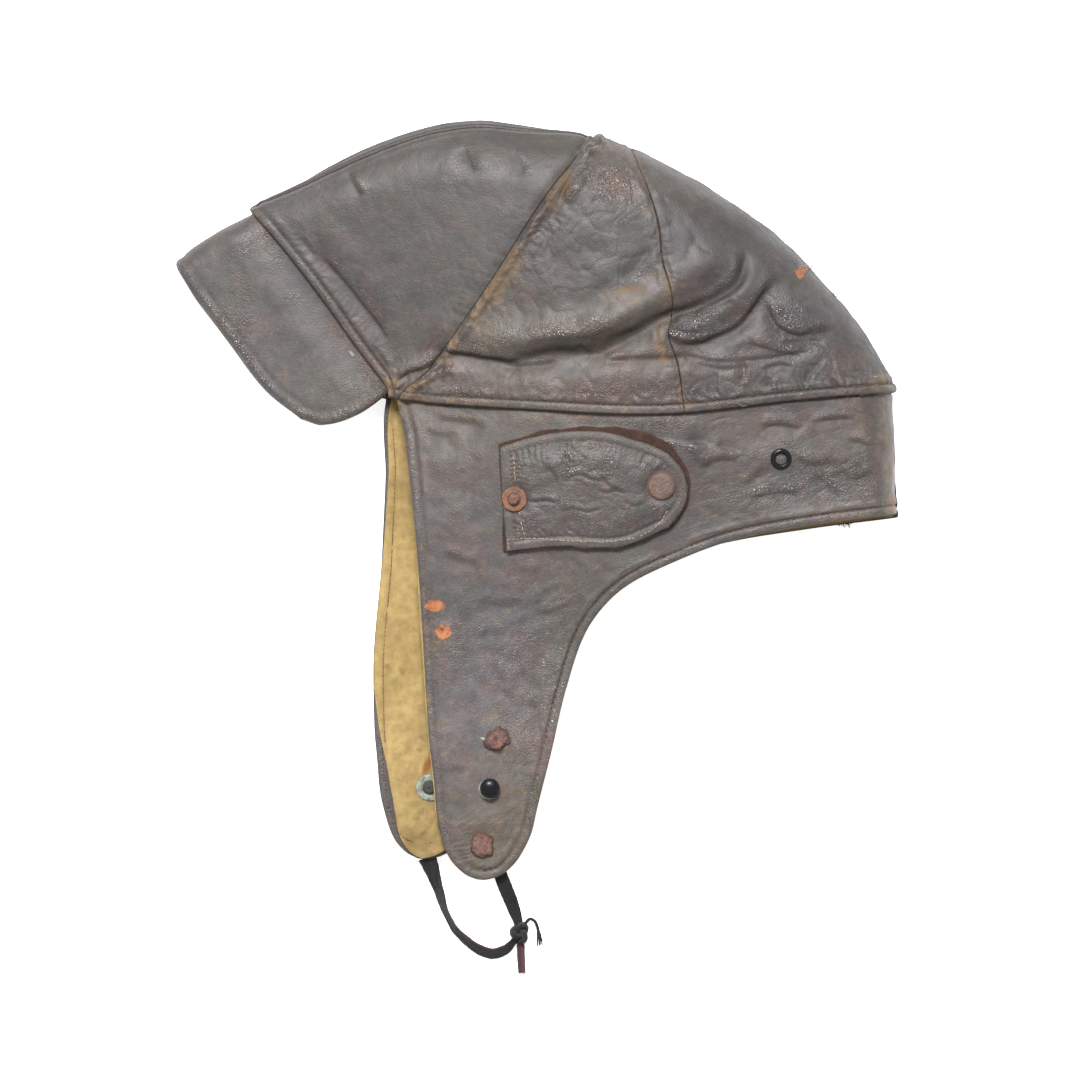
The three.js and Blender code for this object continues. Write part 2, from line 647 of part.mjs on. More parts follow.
for (const p of CROWN_PANELS) {
  const reach = (u) => {
    const a = p.patch(u, 0);
    const b = p.patch(u, 1);
    return Math.hypot(a.x - b.x, a.y - b.y);
  };
  const lap = (u) => p.lap(u) / reach(u);
  const half = GAP / 2;
  // The left panel stops at its seam, and the right one laps up to it.
  const start = (u) => lap(u) + half / reach(u);
  const end = (u) => lap(u) - half / reach(u);
  const outer = () => 0;
  const inner = () => -CROWN_WALL;
  add(
    p.name + "_left",
    wall(p.patch, p.columns, (u) => UPPER_ROWS.map((v) => start(u) + v * (1 - start(u))), outer, inner, true),
    leather,
  );
  add(
    p.name + "_right",
    wall(
      p.patch,
      p.columns,
      (u) => {
        const from = half / reach(u);
        const down = [...LOWER_ROWS].reverse().map((v) => -(from + v * (1 - from)));
        return p.lap(0.5) ? [...down, Math.max(end(u) / 2, -from / 2), Math.max(end(u), -from / 4)] : down;
      },
      outer,
      inner,
      true,
    ),
    leather,
  );
}

// ---------------------------------------------------------------- peak
{
  const tBack = tBrow + BROW_LAP / foldLine.length;
  const patch = patchOf(between(foldLine, 0, tBack), along(PEAK_LOW), along(PEAK_FRONT), along(PEAK_BACK), 0);
  // Under the crown's front hem the peak is one wall further in.
  const under = (x, y) => {
    const infront = -0.789 * (x + 118.3) - 0.614 * (y - 119.3);
    return -(CROWN_WALL + LAP_GAP) * (1 - smooth(infront, 0, 16));
  };
  const rows = steps(7, 1.7);
  add(
    "peak",
    wall(
      patch,
      steps(7),
      () => [...rows.slice(1).reverse().map((v) => -v), ...rows],
      under,
      (x, y) => under(x, y) - PEAK_WALL,
      true,
    ),
    leather,
  );
}

// ---------------------------------------------------------------- neck band, ear flaps, lining
const bandPatch = patchOf(
  (u) => {
    const h = hemLine.at(0.016 + u * (1 - 0.016));
    const lift = HEM_LAP * (1 - 0.35 * smooth(u, 0.9, 1));
    return u >= 1 ? { x: 145.9, y: h.y + lift - 0.2 } : { x: h.x, y: h.y + lift };
  },
  along(NECK_EDGE),
  along(FLAP_FRONT),
  (v) => foldLine.at(tHem + v * (1 - tHem)),
  0,
);
// The band lies inside the crown's hem and comes out to the skin below it.
const bandSkin = (x, y) => -(CROWN_WALL + LAP_GAP) * (1 - smooth(belowHem(x, y), -2, 27));
const BAND_COLUMNS = [0, 0.06, 0.13, 0.2, 0.27, 0.34, 0.41, 0.48, 0.55, 0.62, 0.69, 0.76, 0.83, 0.89, 0.94, 0.975, 0.992, 0.9992];
const BAND_ROWS = [0.001, 0.03, 0.09, 0.16, 0.24, 0.33, 0.44, 0.56, 0.68, 0.8, 0.9, 0.96, 1];
// The lining stops short of the turned leather edge.
const liningPatch = (u, v) => bandPatch(u + 0.006 * (1 - u) ** 2, v * 0.988);
const onSide = (rows, sign) => () => (sign > 0 ? rows : [...rows].reverse()).map((v) => sign * v);
const SIDES = [
  ["left", 1],
  ["right", -1],
];
for (const [side, sign] of SIDES) {
  const rows = onSide(BAND_ROWS, sign);
  const back = (n) => (x, y) => bandSkin(x, y) - n;
  add("neck_band_" + side, wall(bandPatch, BAND_COLUMNS, rows, bandSkin, back(BAND_WALL)), leather);
  add("lining_" + side, wall(liningPatch, BAND_COLUMNS, rows, back(BAND_WALL + GAP), back(BAND_WALL + GAP + LINING_WALL)), cloth);
}

// ---------------------------------------------------------------- ear covers
const coverPatch = (grow) =>
  patchOf(
    shifted(along(COVER_TOP), grow, grow),
    shifted(along(COVER_BOTTOM), grow, 0),
    (v) => ({ x: -15.8 + 2.5 * v + grow, y: 21.3 - 42.6 * v + grow * (1 - v) }),
    (v) => {
      const p = along(COVER_RIGHT)(v);
      return { x: p.x + grow, y: p.y + grow * (1 - v) };
    },
    0,
  );
for (const [side, sign] of SIDES) {
  const us = steps(8);
  const ss = onSide([0.0005, ...steps(6).slice(1)], sign);
  const o1 = (x, y) => bandSkin(x, y) + LAP_GAP;
  const o2 = (x, y) => bandSkin(x, y) + 2 * LAP_GAP + COVER_WALL;
  add("ear_cover_base_" + side, wall(coverPatch(1.4), us, ss, (x, y) => o1(x, y) + COVER_WALL, o1), leather);
  add("ear_cover_" + side, wall(coverPatch(0), us, ss, (x, y) => o2(x, y) + COVER_WALL, o2), leather);
}

// ---------------------------------------------------------------- metal fittings
const STANDS_ON = {
  band: (x, y) => bandSkin(x, y) + LAP_GAP + 0.15,
  cover: (x, y) => bandSkin(x, y) + 2 * COVER_WALL + 3 * LAP_GAP,
  lining: (x, y) => bandSkin(x, y) - BAND_WALL - GAP - LINING_WALL - LAP_GAP,
};
const FINISH = { cap: rust, stud: rust, ring: enamel, rivet: rust, ball: enamel, washer: verdigris };
const plan = (u, v) => ({ x: -150 + 300 * u, y: 160 - 330 * v });
for (const f of FITTINGS)
  for (const [side, sign, x, y] of [
    ["left", 1, f.lx, f.ly],
    ["right", -1, f.rx, f.ry],
  ]) {
    const u = (x + 150) / 300;
    const s = (sign * (160 - y)) / 330;
    const p = skin(plan, u, s);
    const n = outward(plan, u, s, false);
    const o = STANDS_ON[f.on](p.x, p.y);
    const profile = PROFILES[f.kind].map((q) => new THREE.Vector2(q.r, q.h));
    const g = new THREE.LatheGeometry(profile, TURN_SEGMENTS);
    g.rotateX(Math.PI / 2);
    const mesh = add(f.name + "_" + side, g, FINISH[f.kind]);
    mesh.position.copy(p).addScaledVector(n, o);
    mesh.quaternion.setFromUnitVectors(new THREE.Vector3(0, 0, 1), f.on === "lining" ? n.clone().negate() : n);
  }

// ---------------------------------------------------------------- chin ribbon
add("ribbon_right", ribbon(RIBBON_RIGHT, 16), tape);
add("ribbon_right_tail", ribbon(RIBBON_RIGHT_TAIL, 9), tape);
add("ribbon_left", ribbon(RIBBON_LEFT, 7), tape);
add("ribbon_left_tail", ribbon(RIBBON_LEFT_TAIL, 4), tape);
{
  const knot = new THREE.SphereGeometry(1, 12, 8);
  knot.scale(KNOT.rx, KNOT.ry, KNOT.rz);
  add("ribbon_knot", knot, tape).position.set(KNOT.x, KNOT.y, KNOT.z);
}

export default helmet;
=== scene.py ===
"""An old leather flying helmet, laid flat on its right side on a pale floor."""
import math

import bmesh
import bpy
import numpy as np
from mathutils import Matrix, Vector


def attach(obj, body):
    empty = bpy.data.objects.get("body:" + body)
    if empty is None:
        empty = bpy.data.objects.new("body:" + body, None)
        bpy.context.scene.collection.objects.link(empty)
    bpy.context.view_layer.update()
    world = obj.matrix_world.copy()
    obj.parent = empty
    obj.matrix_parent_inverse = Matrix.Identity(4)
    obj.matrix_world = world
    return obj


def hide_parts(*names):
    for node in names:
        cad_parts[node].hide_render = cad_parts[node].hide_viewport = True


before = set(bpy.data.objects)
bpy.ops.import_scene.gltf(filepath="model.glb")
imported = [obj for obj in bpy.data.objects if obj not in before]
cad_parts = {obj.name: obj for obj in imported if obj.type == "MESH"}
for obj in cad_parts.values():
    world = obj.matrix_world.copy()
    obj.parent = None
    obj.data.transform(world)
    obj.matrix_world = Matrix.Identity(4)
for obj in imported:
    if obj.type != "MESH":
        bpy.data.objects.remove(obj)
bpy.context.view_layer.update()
RNG = np.random.RandomState(11)

# All shapes are worked out in millimetres in the plan of the left side, where
# zero is a point inside the ear cover, and turned into metres at the end.
ORIGIN = np.array([-0.3, -0.08, 0.0])
PIXEL = 0.41


def px(*points):
    """Points charted in the photograph's frame, as millimetres in the plan."""
    return np.array([((x - 536.5) * PIXEL, (499.0 - y) * PIXEL) for x, y in points])


# ------------------------------------------------------------------ camera
def make_camera():
    data = bpy.data.cameras.new("camera")
    cam = bpy.data.objects.new("camera", data)
    bpy.context.collection.objects.link(cam)
    far = 3.18  # to the helmet's middle height
    wide = 1080 * PIXEL / 1000
    data.sensor_width = 36.0
    data.sensor_fit = "HORIZONTAL"
    data.lens = 36.0 * far / wide
    data.clip_start = 0.05
    data.clip_end = 20.0
    centre = px((540, 540))[0] - ORIGIN[:2]
    cam.location = (centre[0] / 1000, centre[1] / 1000, far + 0.020)
    cam.rotation_euler = (0, 0, 0)
    bpy.context.scene.camera = cam


make_camera()

# ------------------------------------------------------------------ sizes
CROWN_WALL, BAND_WALL, LINING_WALL, PEAK_WALL, COVER_WALL = 2.0, 1.4, 0.9, 3.0, 1.3
GAP, LAP_GAP, HEM_LAP, TOP_LAP = 0.3, 0.5, 5.0, 3.6
HEM_STITCH = 3.7  # from a hem's edge to its stitches

# x, y, height, shoulder
FOLD_LINE = [
    (-147.8, 95.5, 7, 7),
    (-142.1, 101.3, 7.5, 8),
    (-129.8, 110.3, 9, 9),
    (-118.3, 119.3, 10.5, 12),
    (-99.0, 129.2, 13, 16),
    (-74.4, 141.9, 15, 20),
    (-49.8, 151.3, 17, 24),
    (-25.2, 155.4, 18, 27),
    (-0.6, 152.5, 19, 29),
    (23.6, 148.8, 19, 30),
    (38.7, 143.6, 19, 30),
    (56.0, 135.2, 19, 30),
    (73.2, 125.0, 19, 31),
    (97.8, 107.8, 18, 31),
    (116.2, 89.4, 17, 30),
    (134.7, 67.2, 15, 26),
    (145.8, 47.1, 13, 20),
    (146.2, 32.4, 11, 15),
    (146.2, 13.9, 10, 12),
    (147.4, -6.1, 9, 10),
]
K_BROW, K_SLANT, K_UPRIGHT, K_HEM = 3, 9, 10, 16  # rows where seams meet it
HEIGHTS = np.array(
    [
        (-138, 82, 13),
        (-89, 41, 13),
        (-85, 110, 24),
        (-35, 131, 34),
        (-58, 43, 20),
        (-40, 90, 35),
        (26, 131, 40),
        (22, 82, 46),
        (75, 94, 45),
        (108, 69, 40),
        (26, 41, 40),
        (100, 41, 36),
        (137, 20, 26),
        (67, -13, 28),
        (22, 4, 33),
        (-23, 0, 26),
        (-19, -58, 19),
        (-17, -115, 15.5),
        (-19, -158, 12),
    ],
    float,
)
HEIGHT_REACH = 34
# a, bend, b, depth, roll, width
FOLDS = [
    (-39.6, 59, 25.4, 42.8, 84, 95, 2.7, 2.5, 6),
    (57.6, 59, 81, 64, 101, 92, 2.2, 1.4, 5),
    (-40, 60, 26, 52, 116, 60, 0.8, 0.4, 5),
    (-97, 108, -78, 90, -61, 63, 1.0, 0.5, 5),
    (94, 80, 104, 62, 122, 68, 1.8, 1.6, 6),
]
SHELF = dict(lift=3.9, crown=(42, 98), peak=(-55, -112), nape=(75, 134))
# x, y, lift, reach
LIFTS = [(51.0, 5.7, 2.4, 22), (-9.2, 0.4, 3.2, 24), (-20.7, -124.6, 2.0, 24)]
SWING = dict(temple=5.7, flap=18, reach=70, rise=8, length=190)

BROW = [(-118.3, 119.3), (-103.1, 101.3), (-87.9, 81.6), (-73.2, 61.1), (-58.0, 41.8)]
PEAK_BACK = [(-114.8, 121.2), (-99.9, 103.8), (-84.8, 84.0), (-70.6, 63.2), (-59.2, 44.6)]
PEAK_FRONT = [(-147.8, 95.5), (-138.8, 81.6), (-125.3, 63.1), (-111.3, 44.7), (-97.0, 33.6)]
PEAK_LOW = [(-97.0, 33.6), (-86.3, 31.6), (-72.4, 35.7), (-59.2, 44.6)]
SLANTING_SEAM = [(23.6, 148.8), (3.5, 123.4), (-18.2, 89.8), (-38.7, 60.3), (-52.7, 41.0)]
UPRIGHT_SEAM = [(38.7, 143.6), (48.6, 116.4), (55.1, 85.7), (57.2, 61.1), (60.5, 34.9)]
CROWN_HEM = [
    (-58.0, 41.8),
    (-52.7, 41.0),
    (-39.6, 38.9),
    (1.4, 36.1),
    (34.2, 34.4),
    (60.5, 34.9),
    (103.9, 39.8),
    (146.2, 43.9),
]
FLAP_FRONT = [
    (-54.7, 45.6),
    (-50.6, 9.8),
    (-47.4, -20.9),
    (-44.9, -57.8),
    (-42.4, -98.8),
    (-40.8, -112.5),
    (-39.2, -127.5),
    (-36.6, -138.9),
    (-34.8, -144.2),
    (-32.4, -148.4),
    (-28.3, -152.6),
    (-24.4, -154.5),
    (-21.9, -154.9),
]
NECK_EDGE = [
    (-21.9, -154.9),
    (-19.4, -154.6),
    (-14.4, -152.8),
    (-8.8, -148.1),
    (-4.7, -142.0),
    (-1.9, -136.0),
    (0.2, -127.5),
    (6.4, -102.9),
    (12.1, -78.3),
    (20.7, -53.7),
    (34.2, -37.7),
    (54.7, -26.6),
    (81.0, -16.8),
    (113.0, -10.7),
    (147.4, -6.1),
]
COVER_TOP = [(-15.8, 21.3), (3.5, 26.6), (26.0, 27.9), (42.4, 25.0), (53.9, 19.3)]
COVER_RIGHT = [(53.9, 19.3), (60.5, 10.2), (61.0, -1.0), (53.9, -11.5)]
COVER_BOTTOM = [(-13.3, -21.3), (9.6, -18.9), (34.2, -19.3), (53.9, -11.5)]


# ------------------------------------------------------------------ curves
class Curve:
    """A smooth curve through a table's rows, measured along its chords."""

    def __init__(self, rows):
        a = self.a = np.array(rows, float)
        s = self.s = np.concatenate([[0], np.cumsum(np.hypot(*np.diff(a[:, :2], axis=0).T))])
        self.length = s[-1]
        self.knots = s / s[-1]
        lo = np.maximum(0, np.arange(len(a)) - 1)
        hi = np.minimum(len(a) - 1, np.arange(len(a)) + 1)
        self.m = (a[hi] - a[lo]) / (s[hi] - s[lo])[:, None]

    def at(self, t):
        d = np.clip(np.asarray(t, float), 0, 1) * self.length
        i = np.clip(np.searchsorted(self.s, d, side="left") - 1, 0, len(self.s) - 2)
        h = (self.s[i + 1] - self.s[i])[..., None]
        f = (d - self.s[i])[..., None] / h
        return (
            (2 * f**3 - 3 * f**2 + 1) * self.a[i]
            + (f**3 - 2 * f**2 + f) * h * self.m[i]
            + (-2 * f**3 + 3 * f**2) * self.a[i + 1]
            + (f**3 - f**2) * h * self.m[i + 1]
        )

    def part(self, t0, t1):
        return lambda u: self.at(t0 + (t1 - t0) * np.asarray(u, float))


def along(rows):
    return Curve(rows).part(0, 1)


fold_line = Curve(FOLD_LINE)
hem_line = Curve(CROWN_HEM)
FOLD_POINTS = fold_line.at(np.linspace(0, 1, 261))
HEM_POINTS = hem_line.at(np.linspace(0, 1, 81))


def smooth(v, a, b):
    t = np.clip((np.asarray(v, float) - a) / (b - a), 0, 1)
    return t * t * (3 - 2 * t)


def to_polyline(x, y, pts):
    """Distance to a line of points, the share of the way along it, and the
    side: positive to the left of its direction."""
    x = np.asarray(x, float)
    shape = x.shape
    q = np.stack([x.ravel(), np.asarray(y, float).ravel()], 1)
    a = pts[:-1, :2]
    d = pts[1:, :2] - a
    ll = (d**2).sum(1)
    seg = np.sqrt(ll)
    cum = np.concatenate([[0], np.cumsum(seg)])
    out_d, out_t, out_s = np.empty(len(q)), np.empty(len(q)), np.empty(len(q))
    out_i, out_f = np.empty(len(q), int), np.empty(len(q))
    for k in range(0, len(q), 8000):
        w = q[k : k + 8000, None, :] - a[None]
        f = np.clip((w * d).sum(2) / ll, 0, 1)
        r = w - f[..., None] * d
        dist = np.hypot(r[..., 0], r[..., 1])
        i = dist.argmin(1)
        j = np.arange(len(i))
        out_d[k : k + 8000] = dist[j, i]
        out_i[k : k + 8000] = i
        out_f[k : k + 8000] = f[j, i]
        out_t[k : k + 8000] = (cum[i] + f[j, i] * seg[i]) / cum[-1]
        out_s[k : k + 8000] = np.sign(d[i, 0] * w[j, i, 1] - d[i, 1] * w[j, i, 0])
    r = lambda v: v.reshape(shape)
    return r(out_d), r(out_t), r(out_s), r(out_i), r(out_f)


def nearest_fold(x, y):
    d, _, _, i, f = to_polyline(x, y, FOLD_POINTS)
    z = FOLD_POINTS[i, 2] * (1 - f) + FOLD_POINTS[i + 1, 2] * f
    w = FOLD_POINTS[i, 3] * (1 - f) + FOLD_POINTS[i + 1, 3] * f
    return d, z, w


def below_hem(x, y):
    return np.interp(x, HEM_POINTS[:, 0], HEM_POINTS[:, 1]) - y


# ------------------------------------------------------------------ noise
PERM = np.random.RandomState(3).permutation(256)
PERM = np.concatenate([PERM, PERM])
GRADS = np.random.RandomState(5).normal(size=(256, 3))
GRADS /= np.linalg.norm(GRADS, axis=1)[:, None]


def perlin(p, size):
    """Gradient noise from about -0.7 to 0.7 over points, with lumps of a size in mm."""
    shape = p.shape[:-1]
    p = p.reshape(-1, 3) / size
    i = np.floor(p).astype(int)
    f = p - i
    w = f * f * f * (f * (f * 6 - 15) + 10)
    i &= 255
    out = 0
    for dx in (0, 1):
        for dy in (0, 1):
            for dz in (0, 1):
                h = PERM[(PERM[(PERM[(i[:, 0] + dx) & 255] + i[:, 1] + dy) & 255] + i[:, 2] + dz) & 255]
                g = GRADS[h]
                v = ((f - (dx, dy, dz)) * g).sum(1)
                wx = w[:, 0] if dx else 1 - w[:, 0]
                wy = w[:, 1] if dy else 1 - w[:, 1]
                wz = w[:, 2] if dz else 1 - w[:, 2]
                out = out + v * wx * wy * wz
    return (out * 1.6).reshape(shape)


def fractal(p, size, octaves=3, gain=0.5):
    out, amp = 0, 1.0
    for k in range(octaves):
        out = out + amp * perlin(p + 37.7 * k, size / 2**k)
        amp *= gain
    return out


def creased(p, size, thin=0.16):
    """1 in thin wandering lines, 0 between them."""
    return np.exp(-((perlin(p, size) / thin) ** 2))


# ------------------------------------------------------------------ the skin
def turned(q):
    return np.where(q >= 1, 1.0, np.sqrt(np.maximum(0, 1 - (1 - np.minimum(q, 1)) ** 2)))


def upper_rest(x, y):
    w = np.exp(-((x[..., None] - HEIGHTS[:, 0]) ** 2 + (y[..., None] - HEIGHTS[:, 1]) ** 2) / (2 * HEIGHT_REACH**2))
    return (w * HEIGHTS[:, 2]).sum(-1) / w.sum(-1)


def fold_relief(x, y):
    z = 0
    t = np.linspace(0, 1, 17)[:, None]
    for ax, ay, bx, by, cx, cy, depth, roll, width in FOLDS:
        line = (1 - t) ** 2 * (ax, ay) + 2 * t * (1 - t) * np.array([bx, by]) + t**2 * np.array([cx, cy])
        d, s, side, i, f = to_polyline(x, y, line)
        tan = line[1:] - line[:-1]
        tan /= np.hypot(*tan.T)[:, None]
        foot = line[i] + f[..., None] * (line[i + 1] - line[i])
        across = tan[i, 0] * (y - foot[..., 1]) - tan[i, 1] * (x - foot[..., 0])
        end = np.sqrt(np.maximum(0, d**2 - across**2))
        fade = np.sqrt(np.maximum(0, np.sin(np.pi * np.clip(s, 0.02, 0.98)))) * np.exp(-((end / width) ** 2))
        z = z + fade * (
            roll * np.exp(-(((across - 1.7 * width) / (1.1 * width)) ** 2)) - depth * np.exp(-((across / width) ** 2))
        )
    return z


def skin(x, y, side):
    """The skin over plan points: side is 1 for the upper side, -1 for the lower."""
    x, y = np.asarray(x, float), np.asarray(y, float)
    side = np.broadcast_to(side, x.shape)
    d, z, w = nearest_fold(x, y)
    q = turned(d / w)
    up = z + (upper_rest(x, y) - z) * q + fold_relief(x, y) * smooth(d, 6, 26)
    across = smooth(x, -97, -62) * (1 - smooth(x, -35, 141))
    inside = smooth(d, 8, 70)
    below = np.maximum(0, 41 - y)
    sx = x - (SWING["temple"] + SWING["flap"] * (1 - np.exp(-below / SWING["reach"]))) * across * inside
    sy = y + SWING["rise"] * (below / SWING["length"]) ** 2 * across

    def shelf(v, ends):
        a, b = ends
        return 1 - smooth((v - a) * np.sign(b - a), 0, abs(b - a))

    lift = SHELF["lift"] * shelf(y, SHELF["crown"]) * shelf(x, SHELF["peak"]) * shelf(x, SHELF["nape"])
    for lx, ly, h, reach in LIFTS:
        lift = lift + h * np.maximum(0, np.exp(-((x - lx) ** 2 + (y - ly) ** 2) / (2 * reach**2)) - 0.01)
    low = z * (1 - q) + lift
    # The far side shows a little past the near one along the peak and the nape.
    peek = smooth(-x, 96, 125) * smooth(d, 3, 20)
    nape = smooth(x, 40, 80) * smooth(-y, -22, 2)
    sx = sx - 0.4 * peek
    sy = sy - 0.4 * peek * 0.6 - 1.5 * nape
    upper = side > 0
    out = np.stack([np.where(upper, x, sx), np.where(upper, y, sy), np.where(upper, up, low)], -1)
    # Small corrections to the outline, read against the photograph.
    tip = smooth(-y, 118, 156)
    temple = 3.4 * np.exp(-(((x + 51) / 7.5) ** 2) - ((y - 43) / 9) ** 2)
    out[..., 0] -= np.where(upper, temple, 0.0)
    out[..., 0] += (0.9 + 0.8 * smooth(y, 14, 34)) * smooth(x, 112, 146) * (1 - smooth(y, 42, 54)) + 0.8 * smooth(x, 50, 125) * smooth(y, 44, 70)
    out[..., 1] += 0.7 * smooth(x, 0, 60) * smooth(y, 70, 120) - 1.7 * tip
    out[..., 0] -= 1.3 * smooth(-x, 124, 148) * smooth(y, 60, 95)
    out[..., 1] -= 1.1 * np.exp(-(((x + 86) / 17) ** 2)) * (1 - smooth(y, 34, 60))
    out[..., 1] += 1.0 * smooth(-x, 118, 140) * smooth(y, 82, 94)
    far = 3.1 * smooth(-y, 22, 75) * (1 - 0.35 * tip) - 0.7 * np.exp(-(((y - 4) / 22) ** 2))
    near = (1.7 + 1.2 * smooth(-y, 118, 140) + 1.2 * smooth(y, 26, 44)) * (1 - smooth(x, -44, -18)) * (1 - smooth(y, 38, 50))
    out[..., 0] -= np.where(upper, near * smooth(x, -62, -56), far)
    # the turn of the near edge under the temple, and the far edge beside it
    turn = 1.9 * np.exp(-(((y - 39.5) / 4) ** 2)) * (1 - smooth(x, -46, -36)) * smooth(x, -58, -52)
    past = 2.6 * smooth(y, 8, 38) * (1 - smooth(y, 43, 60)) * np.exp(-(((x + 50) / 8) ** 2))
    # the upright seam's kinks
    kink = (2.0 * np.exp(-(((y - 97) / 10) ** 2)) + 3.0 * np.exp(-(((y - 67) / 8) ** 2))) * np.exp(-(((x - 56) / 15) ** 2))
    out[..., 0] += np.where(upper, turn - kink, -past)
    return out


def band_skin(x, y):
    return -(CROWN_WALL + LAP_GAP) * (1 - smooth(below_hem(x, y), -2, 27))


def peak_skin(x, y):
    infront = -0.789 * (x + 118.3) - 0.614 * (y - 119.3)
    return -(CROWN_WALL + LAP_GAP) * (1 - smooth(infront, 0, 16))


# ------------------------------------------------------------------ seams and creases
SEAMS = {
    "hem": HEM_POINTS,
    "brow": Curve(BROW).at(np.linspace(0, 1, 60)),
    "slant": Curve(SLANTING_SEAM).at(np.linspace(0, 1, 80)),
    "upright": Curve(UPRIGHT_SEAM).at(np.linspace(0, 1, 60)),
    "front": Curve(FLAP_FRONT).at(np.linspace(0, 1, 120)),
    "neck": Curve(NECK_EDGE).at(np.linspace(0, 1, 140)),
}
